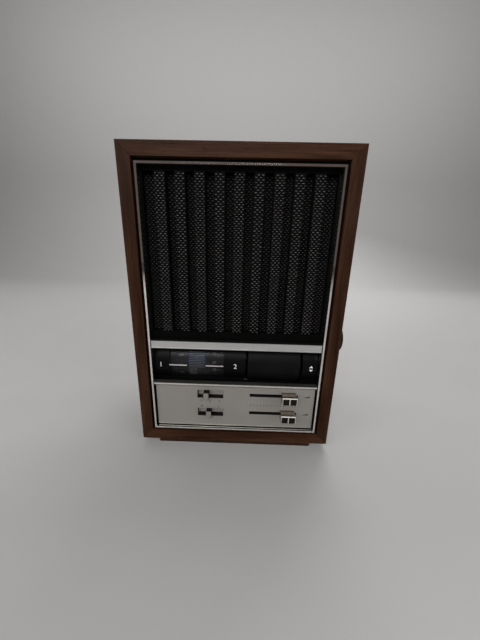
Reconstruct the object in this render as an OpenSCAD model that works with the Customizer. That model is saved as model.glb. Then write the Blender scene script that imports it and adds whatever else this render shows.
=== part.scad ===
// Table radio: a wooden cabinet whose framed front holds a ribbed grille, a drum dial and slide controls
// X runs to the right as seen from the front, Y runs into the cabinet, Z runs up from the table

/* [Cabinet] */
// Outside width of the cabinet boards
cabinet_w = 184; // [174:1:220]
// Outside height of the cabinet boards, without the plinth
cabinet_h = 260; // [250:1:300]
// Outside depth of the cabinet boards
cabinet_d = 128; // [124:1:170]
// Thickness of the cabinet boards
board_t = 10.5; // [8:0.5:11]
// Height of the plinth under the cabinet
plinth_h = 5; // [3:0.5:15]
// Distance from the cabinet side to the plinth side
plinth_side_inset = 16; // [6:1:30]
// Distance from the cabinet front to the plinth front
plinth_front_inset = 1.5; // [0.5:0.5:20]
// Width and height of the square corner blocks
block_w = 12; // [9:0.5:16]
// Height of a corner block along its side board
block_h = 20; // [14:1:30]

/* [Rear cover] */
// Thickness of the rear cover
cover_t = 3; // [2:0.5:4]
// Depth of the rear cover behind the boards' rear edges
cover_recess = 3; // [1:0.5:6]
// Length of a vent slot
vent_l = 36; // [20:1:42]
// Height of a vent slot
vent_h = 3; // [2:0.5:4]
// Distance between rows of vent slots
vent_pitch = 9; // [7:0.5:10]
// Radius of the bore in the cord gland
gland_bore_r = 3.2; // [2.5:0.1:4]

/* [Front frame] */
// Distance from the boards' front edges back to the front plane
front_recess = 2; // [0:0.25:4]
// Gap between the bezel and the side boards
reveal_side = 2.5; // [1:0.5:4]
// Gap between the bezel and the top and bottom boards
reveal_end = 3; // [1:0.5:5]
// Width of the bezel's bright face
bezel_face = 2.75; // [2:0.25:4]
// Distance that the bezel stands out of the front plane
bezel_proud = 3.5; // [2:0.25:6]
// Distance of the black frame behind the front plane
frame_recess = 2; // [1:0.25:3]
// Thickness of the black frame
frame_t = 4.5; // [3.5:0.25:6]
// Height of the silver control panel
control_h = 44.2; // [43:0.2:50]
// Height of the bright divider between the control panel and the dial
divider_h = 2.6; // [1.5:0.1:4]
// Height of the dial band
dial_h = 34.3; // [33:0.1:40]
// Height of the bright strip over the dial
strip_h = 7.2; // [4:0.2:12]

/* [Grille] */
// Black margin between the strip and the grille
grille_margin = 8; // [4:0.5:14]
// Black margin at the sides of the grille
grille_side_margin = 1; // [0.5:0.25:8]
// Black margin over the grille
grille_top_margin = 2.5; // [2:0.5:8]
// Width of a raised rib
rib_w = 8; // [6:0.25:9]
// Distance from rib to rib
rib_pitch = 15.3; // [13:0.1:20]
// Thickness of the grille sheet
grille_t = 1.2; // [0.8:0.1:1.6]
// Distance of the rib faces behind the front plane
rib_depth = 0.5; // [0:0.25:1.5]

/* [Speaker] */
// Thickness of the speaker baffle
baffle_t = 4; // [4:0.5:6]
// Outside radius of the speaker
speaker_r = 56; // [48:0.5:58]
// Depth of the speaker basket behind its flange
basket_depth = 26; // [22:0.5:34]
// Radius of the speaker magnet
magnet_r = 30; // [24:0.5:36]
// Thickness of the speaker magnet
magnet_t = 10; // [7:0.5:15]

/* [Dial] */
// Width of the black panel left of the dial window
label_left_w = 13.9; // [13:0.1:18]
// Width of the dial window
dial_window_w = 50.8; // [40:0.2:54]
// Width of the black panel between the dial window and the roller
label_middle_w = 20.6; // [14:0.2:26]
// Width of the black panel right of the roller
label_right_w = 14.2; // [14:0.1:18]
// Radius of the convex dial band
barrel_r = 22; // [20:0.1:24]
// Distance of the dial band's foremost line behind the front plane
barrel_depth = 1.5; // [0.5:0.25:3]
// Radius of the scale drum
drum_r = 19; // [17:0.1:19.2]
// Radius of the tuning roller
roller_r = 22.4; // [20:0.1:22.6]
// Gap at each end of the roller
roller_end_gap = 1.6; // [0.8:0.1:3]
// Radius of the drum shaft
drum_shaft_r = 2.5; // [2:0.1:3.5]

/* [Tuning drive] */
// Module of the gear teeth
gear_module = 0.65; // [0.5:0.01:0.68]
// Teeth of the gear on the drum shaft
gear_teeth = 54; // [48:1:56]
// Teeth of the pinion on the knob shaft
pinion_teeth = 18; // [16:1:22]
// Direction from the drum shaft to the knob shaft, above the horizontal
drive_angle = 57; // [45:1:75]
// Radius of the knob shaft
knob_shaft_r = 3; // [2.5:0.1:3.5]
// Radius of the side tuning knob
knob_r = 14.5; // [9:0.5:18]
// Length of the side tuning knob
knob_l = 12.4; // [9:0.2:20]

/* [Slide controls] */
// Length of a slider slot
slot_l = 45.5; // [38:0.5:48]
// Height of a slider slot
slot_h = 3; // [2.8:0.1:3.6]
// Distance from the bezel to the right end of the slider slots
slot_margin = 16.75; // [12:0.25:20]
// Height of the tone slot over the control panel's lower edge
tone_z = 34.8; // [30:0.1:36]
// Height of the volume slot over the control panel's lower edge
volume_z = 15.5; // [13:0.1:18]
// Distance from the slot's right end to the slider's resting place
slider_rest = 9; // [4:0.1:30]
// Width of a slider knob
slider_w = 13.5; // [10:0.1:16]
// Height of a slider knob
slider_h = 7.8; // [6:0.1:9]
// Distance that a slider knob stands out of the panel
slider_proud = 9.8; // [7:0.1:12]

/* [Slide switches] */
// Distance from the bezel to the left end of the switch pockets
pocket_margin = 40.2; // [34:0.1:42]
// Width of a switch pocket
pocket_w = 24.6; // [20:0.1:26]
// Height of a switch pocket
pocket_h = 8.3; // [7.6:0.1:9]
// Depth of a switch pocket
pocket_depth = 3.2; // [3:0.1:4.4]
// Height of the band switch pocket over the control panel's lower edge
band_z = 30.7; // [27:0.1:32]
// Height of the power switch pocket over the control panel's lower edge
power_z = 10.8; // [8:0.1:13]
// Height of the slot in the band switch pocket
band_slot_h = 1.7; // [1.6:0.1:3.4]
// Height of the slot in the power switch pocket
power_slot_h = 2; // [1.6:0.1:4]
// Distance from the pocket's left end to the band switch at rest
band_rest = 8.7; // [4:0.1:18]
// Distance from the pocket's left end to the power switch at rest
power_rest = 11; // [4:0.1:18]
// Width of a switch cap
cap_w = 5; // [4:0.1:6]
// Height of a switch cap
cap_h = 7.2; // [6:0.1:7.4]
// Distance that a switch cap stands out of the panel
cap_proud = 5; // [3:0.1:8]

/* [Electronics] */
// Height of the pillars under the circuit board
pillar_h = 12; // [8:0.5:20]
// Width of the circuit board
pcb_w = 92; // [80:1:92]
// Depth of the circuit board
pcb_d = 64; // [56:1:66]
// Width of the transformer's core
core_w = 44; // [36:0.5:46]
// Height of the transformer's core
core_h = 37; // [32:0.5:46]
// Thickness of the transformer's lamination stack
core_t = 18; // [14:0.5:24]
// Length of the ferrite rod
rod_l = 120; // [100:1:140]
// Radius of the ferrite rod
rod_r = 5; // [4:0.1:6]

/* [Hidden] */
$fn = 72;

// Clearances: pieces that drop in, pieces that turn or slide, and pieces seated in a recess
fit_gap = 0.3;
run_gap = 0.04;
seat_gap = 0.05;

// Overshoot of a cut past the face it goes through, and spare depth of a blind screw hole
over = 1;
hole_spare = 0.5;

// Screws: two kinds, each of one length
screw_r = 1.25;
screw_l = 5;
screw_head_r = 2.6;
screw_head_h = 1.6;
screw_hole_r = 1.6;
pilot_r = screw_r + seat_gap;
wood_screw_r = 1.5;
wood_screw_l = 16;
wood_head_r = 3.2;
wood_head_h = 1.8;
wood_pilot_r = wood_screw_r + seat_gap;
drive_slot = 0.8;

// Cabinet: planes of its outside and inside
front_y = front_recess - cabinet_d / 2;
rear_y = cabinet_d / 2;
cabinet_bottom_z = plinth_h;
cabinet_top_z = plinth_h + cabinet_h;
inside_x = cabinet_w / 2 - board_t;
inside_bottom_z = cabinet_bottom_z + board_t;
inside_top_z = cabinet_top_z - board_t;

// Front: depths are measured from the front plane into the cabinet
bezel_front = -bezel_proud;
frame_back = frame_recess + frame_t;
bezel_x = inside_x - reveal_side;
bezel_bottom_z = inside_bottom_z + reveal_end;
bezel_top_z = inside_top_z - reveal_end;
window_x = bezel_x - bezel_face;
window_bottom_z = bezel_bottom_z + bezel_face;
window_top_z = bezel_top_z - bezel_face;
bezel_chamfer = 0.4;
panel_gap = 0.8;
control_bottom_z = window_bottom_z + panel_gap;
control_top_z = control_bottom_z + control_h;
divider_bottom_z = control_top_z + fit_gap;
dial_bottom_z = divider_bottom_z + divider_h;
dial_top_z = dial_bottom_z + dial_h;
strip_top_z = dial_top_z + strip_h;
strip_lip = 0.8;
strip_lip_proud = 0.4;
control_ledge = 5;
control_ledge_top = 4;

// Grille field
grille_x = window_x - grille_side_margin;
grille_bottom_z = strip_top_z + grille_margin;
grille_top_z = window_top_z - grille_top_margin;
grille_mid_z = (grille_bottom_z + grille_top_z) / 2;
grille_rim = 3;
rib_draft = 0.5;
channel_w = rib_pitch - rib_w;
rib_count = floor((2 * grille_x - 2 * channel_w - rib_w) / rib_pitch) + 1;
grille_back = frame_back + grille_t;

// Speaker
baffle_back = grille_back + baffle_t;
baffle_lap_low = 1.5;
baffle_lap_high = 1;
baffle_bottom_z = grille_bottom_z - grille_rim - baffle_lap_low;
baffle_top_z = grille_top_z + grille_rim + baffle_lap_high;
baffle_x = inside_x - grille_rim;
flange_w = 9;
flange_t = 1.5;
basket_wall = 1.5;
plate_t = 3;
plate_step = 3;
basket_seat = 1.5;
basket_r = magnet_r - basket_seat;
basket_rim = 4;
basket_window_w = 30;
cone_surround_w = 4;
cap_rise = 4;
voice_coil_r = 12.6;
cone_t = 0.8;
coil_gap = 0.6;
pole_r = voice_coil_r - cone_t / 2 - coil_gap;
gap_r = voice_coil_r + cone_t / 2 + coil_gap;
hole_clear = 1;
basket_hole_r = gap_r + hole_clear;
speaker_hole_r = speaker_r - flange_w + hole_clear;
speaker_screw_reach = (speaker_r - screw_head_r - fit_gap) / sqrt(2);
basket_back = baffle_back + flange_t + basket_depth;
coil_former_l = 8;
neck_depth = basket_back - coil_former_l;

// Dial band: left to right along X
window_left = -window_x + label_left_w;
window_right = window_left + dial_window_w;
roller_left = window_right + label_middle_w;
roller_right = window_x - label_right_w;
shaft_depth = barrel_depth + barrel_r;
shaft_y = front_y + shaft_depth;
barrel_drop = 1.15;
shaft_z = (dial_bottom_z + dial_top_z) / 2 - barrel_drop;
barrel_wall = 1.6;
barrel_in_r = barrel_r - barrel_wall;
dial_plate_t = 2;
dial_plate_back = frame_back + dial_plate_t;
dial_plate_lap = 5.7;
dial_plate_side = 2;
barrel_end_gap = 0.4;
dial_window_h = 25;
lens_lap = 1.5;
drum_clear = 0.6;
lens_in_r = drum_r + drum_clear;
hollow_end = 3;
roller_clear = 0.6;
roller_cut = sqrt(pow(roller_r + roller_clear, 2) - pow(shaft_depth - dial_plate_back, 2));
pointer_h = 1.2;
pointer_t = 0.4;
scale_band_w = 17.3;
drum_lap = 2;
drum_left = window_left - drum_lap;
drum_right = window_right + drum_lap;
drum_wall = 2;
hub_wall = 3;
hub_r = drum_shaft_r + hub_wall;
web_t = 2.5;
roller_edge_r = 2;
drum_edge_r = 0.3;

// Gear train on the right of the roller
gear_t = 4;
gear_gap = 1.5;
gear_left = roller_right + gear_gap;
gear_right = gear_left + gear_t;
gear_pitch_r = gear_module * gear_teeth / 2;
pinion_pitch_r = gear_module * pinion_teeth / 2;
gear_distance = gear_pitch_r + pinion_pitch_r;
pressure_angle = 20;
tooth_top = 0.8;
tooth_root = 1.1;
addendum = tooth_top * gear_module;
dedendum = tooth_root * gear_module;
backlash = 0.16;
flank_steps = 4;
knob_y = shaft_y + gear_distance * cos(drive_angle);
knob_z = shaft_z + gear_distance * sin(drive_angle);

// Brackets of the drum shaft
bracket_t = 2;
bracket_gap = 2;
bracket_left_x = drum_left - bracket_gap - bracket_t;
bracket_right_x = gear_right + bracket_gap;
bracket_half_h = 9;
bracket_reach = 10;
foot_w = 2 * screw_head_r + 4 * fit_gap;
foot_screw_z = 5;
shaft_in_capacitor = 6;
shaft_end = 1;
shaft_left = bracket_left_x - shaft_in_capacitor;
shaft_right = bracket_right_x + bracket_t + shaft_end;
varicap_t = 9;
varicap_w = 20;

// Side knob
bush_wall = 2;
bush_r = knob_shaft_r + bush_wall;
bush_collar_r = bush_r + bush_wall;
bush_collar_t = 2;
knob_gap = 0.6;
knob_left = cabinet_w / 2 + knob_gap;
knob_right = knob_left + knob_l;
knob_face_t = 3;
knob_bore_l = knob_l - knob_face_t;
knob_shaft_end = 0.5;
knob_chamfer = 1.2;
knob_flutes = 40;
flute_r = 0.6;
flute_lift = 0.2;

// Control panel
control_t = 3;
control_front = frame_recess - control_t;
control_back = frame_recess;
control_x = window_x - panel_gap;
slot_right = window_x - slot_margin;
slot_left = slot_right - slot_l;
slider_x = slot_right - slider_rest;
stem_w = 5;
stem_gap = 0.4;
stem_h = slot_h - 2 * stem_gap;
pot_end = 5;
pot_h = 10;
pot_d = 9;
pot_wall = 1.5;
wiper_w = 7;
wiper_h = pot_h - 2 * pot_wall - 2 * stem_gap;
wiper_gap = 1;
wiper_front = control_back + wiper_gap;
wiper_back = control_back + pot_d - pot_wall - stem_gap;
knob_lift = 0.3;
slider_back = control_front - knob_lift;
slider_front = control_front - slider_proud;
slider_face_t = 3;
stem_end = slider_front + slider_face_t;
stem_lap = 1;
slider_chamfer = 0.8;
inlay_w = 5.6;
inlay_edge = 0.8;
inlay_h = slider_h - 2 * inlay_edge;
inlay_bar = 1.1;
inlay_t = 0.8;

// Slide switches
pocket_left = -window_x + pocket_margin;
pocket_wall = 1.2;
pocket_floor = control_front + pocket_depth;
pocket_back = pocket_floor + pocket_wall;
pocket_slot_end = 0.6;
cap_t = 1;
cap_front = control_front - cap_proud;
cap_floor_gap = 1;
cap_back = pocket_floor - cap_floor_gap;
tongue_w = 3;
tongue_gap = 0.3;
switch_d = 8;
switch_wall = 1.5;
tongue_end_gap = 1;
tongue_back = pocket_back + switch_d - switch_wall - tongue_end_gap;

// Corner blocks: their screws enter the front frame and hold the rear cover
cover_back_y = rear_y - cover_recess;
cover_front_y = cover_back_y - cover_t;
rear_block_l = 18;
screw_in_frame = 3;
front_screw_head = frame_back - screw_in_frame + wood_screw_l;
block_screw_side = wood_head_r + 2 * fit_gap;
block_screw_x = inside_x - block_screw_side;
block_screw_in = block_h / 2;
gland_side = 27;
gland_up = 22;
gland_x = -inside_x + gland_side;
gland_z = inside_bottom_z + gland_up;
gland_wall = 1.8;
gland_flange_w = 2;
gland_clip_w = 1;
gland_neck_r = gland_bore_r + gland_wall;
gland_flange_r = gland_neck_r + gland_flange_w;
gland_clip_r = gland_neck_r + gland_clip_w;
gland_flange_t = 2;
vent_columns = 3;
vent_gap = 8;
vent_rows_top = 7;
vent_rows_bottom = 5;
vent_edge = 22;

// Electronics on the bottom board
pcb_side = 16;
pcb_setback = 40;
pcb_right = inside_x - pcb_side;
pcb_left = pcb_right - pcb_w;
pcb_front_y = front_y + pcb_setback;
pcb_back_y = pcb_front_y + pcb_d;
pcb_t = 1.6;
pcb_bottom_z = inside_bottom_z + pillar_h;
pcb_top_z = pcb_bottom_z + pcb_t;
pillar_r = 4;
pillar_inset = 6;
large_can_r = 8;
large_can_h = 30;
small_can_r = 6.5;
small_can_h = 22;
filter_side = 26;
filter_back = 14;
filter_pitch = 19;
core_side = 6;
core_setback = 82;
core_x = -inside_x + core_side + core_w / 2;
core_y = front_y + core_setback;
core_leg = core_w / 3;
core_yoke = core_w / 6;
core_foot = 2 * screw_head_r + 2 * fit_gap;
core_foot_t = 1.5;
coil_overhang = 6;
coil_gap_core = 0.2;
rod_drop = 15;
rod_setback = 30;
rod_z = inside_top_z - rod_drop;
rod_y = rear_y - rod_setback;
clip_end = 15;
clip_x = rod_l / 2 - clip_end;
clip_w = 8;
clip_wall = 2.5;
rod_coil_l = 24;
rod_coil_t = 1.8;

// A box given by its ends in X, depth behind the front plane, and Z
module slab(x0, x1, d0, d1, z0, z1) {
    translate([x0, front_y + d0, z0])
        cube([x1 - x0, d1 - d0, z1 - z0]);
}

// A round bar along X
module bar_x(x0, x1, r, y, z) {
    translate([x0, y, z])
        rotate([0, 90, 0])
            cylinder(r = r, h = x1 - x0);
}

// A round bar along depth
module bar_y(d0, d1, r, x, z) {
    translate([x, front_y + d0, z])
        rotate([-90, 0, 0])
            cylinder(r = r, h = d1 - d0);
}

// A flat outline in Y and Z, drawn out along X
module along_x(x0, x1) {
    translate([x0, 0, 0])
        rotate([90, 0, 90])
            linear_extrude(x1 - x0)
                children();
}

// A flat outline in X and Z, drawn out along depth
module along_y(d0, d1) {
    translate([0, front_y + d1, 0])
        rotate([90, 0, 0])
            linear_extrude(d1 - d0)
                children();
}

// An outline of radius and depth, turned about a line along Y
module turned_y(x, z) {
    translate([x, front_y, z])
        rotate([-90, 0, 0])
            rotate_extrude()
                children();
}

// An outline of radius and length, turned about a line along X
module turned_x(x, y, z) {
    translate([x, y, z])
        rotate([0, 90, 0])
            rotate_extrude()
                children();
}

// One small screw whose head seats at depth 0 of its own frame and whose shank runs along -Z
module screw(r, l, head_r, head_h) {
    difference() {
        union() {
            translate([0, 0, -l])
                cylinder(r = r, h = l);
            cylinder(r = head_r, h = head_h);
        }
        translate([-head_r, -drive_slot / 2, head_h / 2])
            cube([2 * head_r, drive_slot, head_h]);
    }
}

module chassis_screw() {
    screw(screw_r, screw_l, screw_head_r, screw_head_h);
}

// A wood screw with its head facing the rear
module wood_screw(x, y, z) {
    translate([x, y, z])
        rotate([-90, 0, 0])
            screw(wood_screw_r, wood_screw_l, wood_head_r, wood_head_h);
}

// The mitred outlines of the boards, seen from the front
function board_outline(x0, z0, x1, z1, x2, z2, x3, z3) = [[x0, z0], [x1, z1], [x2, z2], [x3, z3]];

module board(outline) {
    color("saddlebrown")
        along_y(-front_recess, cabinet_d - front_recess)
            polygon(outline);
}

module cabinet_top() {
    board(board_outline(
        -cabinet_w / 2, cabinet_top_z, cabinet_w / 2, cabinet_top_z,
        inside_x, inside_top_z, -inside_x, inside_top_z));
}

module cabinet_bottom() {
    difference() {
        board(board_outline(
            -cabinet_w / 2, cabinet_bottom_z, cabinet_w / 2, cabinet_bottom_z,
            inside_x, inside_bottom_z, -inside_x, inside_bottom_z));
        for (side = [-1, 1])
            translate([core_x + side * (core_w + core_foot) / 2, core_y, inside_bottom_z - screw_l])
                cylinder(r = pilot_r, h = 2 * screw_l);
    }
}

module cabinet_side_left() {
    board(board_outline(
        -cabinet_w / 2, cabinet_bottom_z, -cabinet_w / 2, cabinet_top_z,
        -inside_x, inside_top_z, -inside_x, inside_bottom_z));
}

module cabinet_side_right() {
    difference() {
        board(board_outline(
            cabinet_w / 2, cabinet_bottom_z, cabinet_w / 2, cabinet_top_z,
            inside_x, inside_top_z, inside_x, inside_bottom_z));
        bar_x(inside_x - board_t, inside_x + 2 * board_t, bush_r + seat_gap, knob_y, knob_z);
    }
}

module base_plinth() {
    plinth_x = cabinet_w / 2 - plinth_side_inset;
    plinth_front = plinth_front_inset - front_recess;
    plinth_d = cabinet_d - 2 * plinth_front_inset;
    color("#3a2a20")
        slab(-plinth_x, plinth_x, plinth_front, plinth_front + plinth_d, 0, plinth_h);
}

// Places of the eight corner screws: side, end, and the height of each
function block_z(end) = end > 0 ? inside_top_z - block_screw_in : inside_bottom_z + block_screw_in;

module corner_block(side, end, d0, d1) {
    x0 = side > 0 ? inside_x - block_w : -inside_x;
    z0 = end > 0 ? inside_top_z - block_h : inside_bottom_z;
    difference() {
        slab(x0, x0 + block_w, d0, d1, z0, z0 + block_h);
        bar_y(d0 - over, d1 + over, wood_pilot_r, side * block_screw_x, block_z(end));
    }
}

module corner_blocks() {
    color("burlywood")
        for (side = [-1, 1], end = [-1, 1]) {
            corner_block(side, end, end > 0 ? baffle_back : frame_back, front_screw_head);
            corner_block(side, end, cover_front_y - front_y - rear_block_l, cover_front_y - front_y);
        }
}

module wood_screws() {
    color("gray")
        for (side = [-1, 1], end = [-1, 1]) {
            wood_screw(side * block_screw_x, front_y + front_screw_head, block_z(end));
            wood_screw(side * block_screw_x, cover_back_y, block_z(end));
        }
}

module vent_row(z) {
    first = -(vent_columns - 1) / 2;
    for (column = [0 : vent_columns - 1])
        translate([(first + column) * (vent_l + vent_gap) - vent_l / 2, cover_front_y - over, z])
            cube([vent_l, cover_t + 2 * over, vent_h]);
}

module rear_cover() {
    d0 = cover_front_y - front_y;
    d1 = cover_back_y - front_y;
    color("#2b2622")
        difference() {
            slab(-inside_x + fit_gap, inside_x - fit_gap, d0, d1,
                inside_bottom_z + fit_gap, inside_top_z - fit_gap);
            for (row = [0 : vent_rows_top - 1])
                vent_row(inside_top_z - vent_edge - vent_h - row * vent_pitch);
            for (row = [0 : vent_rows_bottom - 1])
                vent_row(gland_z + vent_edge + row * vent_pitch);
            for (side = [-1, 1], end = [-1, 1])
                bar_y(d0 - over, d1 + over, wood_screw_r + fit_gap, side * block_screw_x, block_z(end));
            bar_y(d0 - over, d1 + over, gland_neck_r + seat_gap, gland_x, gland_z);
        }
}

module cord_gland() {
    inner = cover_front_y - front_y - seat_gap;
    outer = cover_back_y - front_y + seat_gap;
    color("#151515")
        turned_y(gland_x, gland_z)
            polygon([
                [gland_bore_r, inner - gland_flange_t], [gland_clip_r, inner - gland_flange_t],
                [gland_clip_r, inner], [gland_neck_r, inner], [gland_neck_r, outer],
                [gland_flange_r, outer], [gland_flange_r, outer + gland_flange_t],
                [gland_bore_r, outer + gland_flange_t]
            ]);
}

module front_frame() {
    x = inside_x - fit_gap;
    control_hole_x = window_x - control_ledge;
    color("#131313")
        difference() {
            slab(-x, x, frame_recess, frame_back, inside_bottom_z + fit_gap, inside_top_z - fit_gap);
            slab(-grille_x, grille_x, frame_recess - over, frame_back + over, grille_bottom_z, grille_top_z);
            slab(-window_x, window_x, frame_recess - over, frame_back + over, dial_bottom_z, dial_top_z);
            slab(-control_hole_x, control_hole_x, frame_recess - over, frame_back + over,
                control_bottom_z + control_ledge, control_top_z - control_ledge_top);
            for (side = [-1, 1], end = [-1, 1])
                bar_y(frame_back - screw_in_frame - hole_spare, frame_back + over, wood_pilot_r,
                    side * block_screw_x, block_z(end));
        }
}

// One side of the bezel: its section across the side, cut to the mitre
function bezel_section(outer, inner, chamfer) = [
    [bezel_front + chamfer, outer], [bezel_front, outer - chamfer * sign(outer - inner)],
    [bezel_front, inner + chamfer * sign(outer - inner)], [bezel_front + chamfer, inner],
    [frame_recess, inner], [frame_recess, outer]
];

module bezel_end(outer_z, inner_z) {
    intersection() {
        along_x(-bezel_x, bezel_x)
            translate([front_y, 0])
                polygon(bezel_section(outer_z, inner_z, bezel_chamfer));
        along_y(bezel_front - over, frame_recess + over)
            polygon([[-bezel_x, outer_z], [bezel_x, outer_z], [window_x, inner_z], [-window_x, inner_z]]);
    }
}

module bezel_side(outer_x, inner_x) {
    intersection() {
        translate([0, front_y, bezel_bottom_z])
            linear_extrude(bezel_top_z - bezel_bottom_z)
                polygon([for (p = bezel_section(outer_x, inner_x, bezel_chamfer)) [p[1], p[0]]]);
        along_y(bezel_front - over, frame_recess + over)
            polygon([[outer_x, bezel_bottom_z], [outer_x, bezel_top_z],
                [inner_x, window_top_z], [inner_x, window_bottom_z]]);
    }
}

module bezel_frame() {
    color("silver") {
        bezel_end(bezel_top_z, window_top_z);
        bezel_end(bezel_bottom_z, window_bottom_z);
        bezel_side(-bezel_x, -window_x);
        bezel_side(bezel_x, window_x);
    }
}

module trim_strip() {
    x = window_x - seat_gap;
    color("lightgray") {
        slab(-x, x, bezel_front + strip_lip_proud, frame_recess, dial_top_z, strip_top_z);
        slab(-x, x, bezel_front, frame_recess, dial_top_z, dial_top_z + strip_lip);
        slab(-x, x, bezel_front, frame_recess, strip_top_z - strip_lip, strip_top_z);
    }
}

module divider_trim() {
    x = window_x - seat_gap;
    color("lightgray")
        along_x(-x, x)
            translate([front_y, 0])
                polygon(bezel_section(dial_bottom_z, divider_bottom_z, bezel_chamfer));
}

// The ribbed sheet's section, from left to right along its front and back along its rear;
// the sheet's flat rim is notched round the two upper corner screws
function rib_x(rib) = (rib - (rib_count - 1) / 2) * rib_pitch;
function rib_points(half, floor_depth, face_depth) = [
    for (rib = [0 : rib_count - 1])
        each [
            [rib_x(rib) - half - rib_draft, floor_depth], [rib_x(rib) - half, face_depth],
            [rib_x(rib) + half, face_depth], [rib_x(rib) + half + rib_draft, floor_depth]
        ]
];
function reversed(points) = [for (i = [len(points) - 1 : -1 : 0]) points[i]];

module grille_panel() {
    x = grille_x - fit_gap;
    front_line = rib_points(rib_w / 2, frame_back, rib_depth);
    rear_line = rib_points(rib_w / 2 - grille_t, grille_back, rib_depth + grille_t);
    z0 = grille_bottom_z + fit_gap;
    z1 = grille_top_z - fit_gap;
    color("#1c1b1a") {
        translate([0, front_y, z0])
            linear_extrude(z1 - z0)
                polygon(concat([[-x, frame_back]], front_line, [[x, frame_back], [x, grille_back]],
                    reversed(rear_line), [[-x, grille_back]]));
        difference() {
            slab(-grille_x - grille_rim, grille_x + grille_rim, frame_back, grille_back,
                grille_bottom_z - grille_rim, grille_top_z + grille_rim);
            slab(-x, x, frame_back - over, grille_back + over, z0, z1);
            for (side = [-1, 1])
                bar_y(frame_back - over, grille_back + over, wood_screw_r + fit_gap,
                    side * block_screw_x, block_z(1));
        }
    }
}

module speaker_baffle() {
    color("#6b4a2f")
        difference() {
            slab(-baffle_x, baffle_x, grille_back, baffle_back, baffle_bottom_z, baffle_top_z);
            bar_y(grille_back - over, baffle_back + over, speaker_hole_r, 0, grille_mid_z);
            speaker_bolts(pilot_r, grille_back - over, baffle_back + over);
            for (side = [-1, 1])
                bar_y(grille_back - over, baffle_back + over, wood_screw_r + fit_gap,
                    side * block_screw_x, block_z(1));
        }
}

// Bars at the speaker's four screw places
module speaker_bolts(r, d0, d1) {
    for (side = [-1, 1], end = [-1, 1])
        bar_y(d0, d1, r, side * speaker_screw_reach, grille_mid_z + end * speaker_screw_reach);
}

module speaker_frame() {
    inner = speaker_r - flange_w;
    shoulder = baffle_back + flange_t;
    back = basket_back + basket_wall;
    color("#3c3f42")
        difference() {
            turned_y(0, grille_mid_z)
                polygon([
                    [inner, baffle_back], [speaker_r, baffle_back], [speaker_r, shoulder],
                    [inner + 2 * basket_wall, shoulder], [basket_r, basket_back], [basket_r, back],
                    [basket_hole_r, back], [basket_hole_r, basket_back],
                    [basket_r - 2 * basket_wall, basket_back],
                    [inner, shoulder]
                ]);
            speaker_bolts(screw_hole_r, baffle_back - over, shoulder + over);
            for (quarter = [0 : 3])
                translate([0, 0, grille_mid_z])
                    rotate([0, 45 + 90 * quarter, 0])
                        slab(-basket_window_w / 2, basket_window_w / 2, shoulder + basket_rim,
                            basket_back - basket_rim, 0, speaker_r);
        }
}

module speaker_cone() {
    rim = speaker_r - flange_w - seat_gap;
    front = baffle_back + fit_gap;
    neck_in = voice_coil_r - cone_t / 2;
    neck_out = voice_coil_r + cone_t / 2;
    color("#4a4440")
        turned_y(0, grille_mid_z)
            polygon([
                [rim, front], [rim, front + cone_t], [rim - cone_surround_w, front + cone_t],
                [neck_out, neck_depth + cone_t], [neck_out, basket_back + plate_t + basket_wall],
                [neck_in, basket_back + plate_t + basket_wall], [neck_in, neck_depth],
                [rim - cone_surround_w, front]
            ]);
}

module speaker_dust_cap() {
    base_r = voice_coil_r - cone_t / 2 - seat_gap;
    dome_r = (pow(base_r, 2) + pow(cap_rise, 2)) / (2 * cap_rise);
    half_angle = asin(base_r / dome_r);
    steps = 8;
    color("#38332f")
        turned_y(0, grille_mid_z)
            polygon(concat(
                [[0, neck_depth]],
                [for (i = [0 : steps])
                    let (a = half_angle * (1 - i / steps))
                    [dome_r * sin(a), neck_depth - cap_rise + dome_r * (1 - cos(a))]]
            ));
}

module speaker_magnet() {
    front = basket_back + basket_wall;
    ring = front + plate_t;
    yoke = ring + magnet_t;
    color("#2a2a2c")
        turned_y(0, grille_mid_z)
            polygon([
                [0, front], [pole_r, front], [pole_r, yoke], [gap_r, yoke], [gap_r, front],
                [magnet_r - plate_step, front], [magnet_r - plate_step, ring], [magnet_r, ring],
                [magnet_r, yoke], [magnet_r - plate_step, yoke], [magnet_r - plate_step, yoke + plate_t],
                [0, yoke + plate_t]
            ]);
}

// Small screws of the speaker, the shaft brackets, the circuit board and the transformer
module chassis_screws() {
    speaker_y = front_y + baffle_back + flange_t;
    foot_y = front_y + dial_plate_back + bracket_t;
    color("silver") {
        for (side = [-1, 1], end = [-1, 1]) {
            translate([side * speaker_screw_reach, speaker_y, grille_mid_z + end * speaker_screw_reach])
                rotate([-90, 0, 0])
                    chassis_screw();
            translate([foot_screw_x(side), foot_y, shaft_z + end * foot_screw_z])
                rotate([-90, 0, 0])
                    chassis_screw();
            translate([pillar_x(side), pillar_y(end), pcb_top_z])
                chassis_screw();
        }
        for (side = [-1, 1])
            translate([core_x + side * (core_w + core_foot) / 2, core_y, inside_bottom_z + core_foot_t])
                chassis_screw();
    }
}

function pillar_x(side) = side > 0 ? pcb_right - pillar_inset : pcb_left + pillar_inset;
function pillar_y(end) = end > 0 ? pcb_back_y - pillar_inset : pcb_front_y + pillar_inset;
function foot_screw_x(side) = side > 0 ?
    bracket_right_x + bracket_t + foot_w / 2 : bracket_left_x - foot_w / 2;

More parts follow.
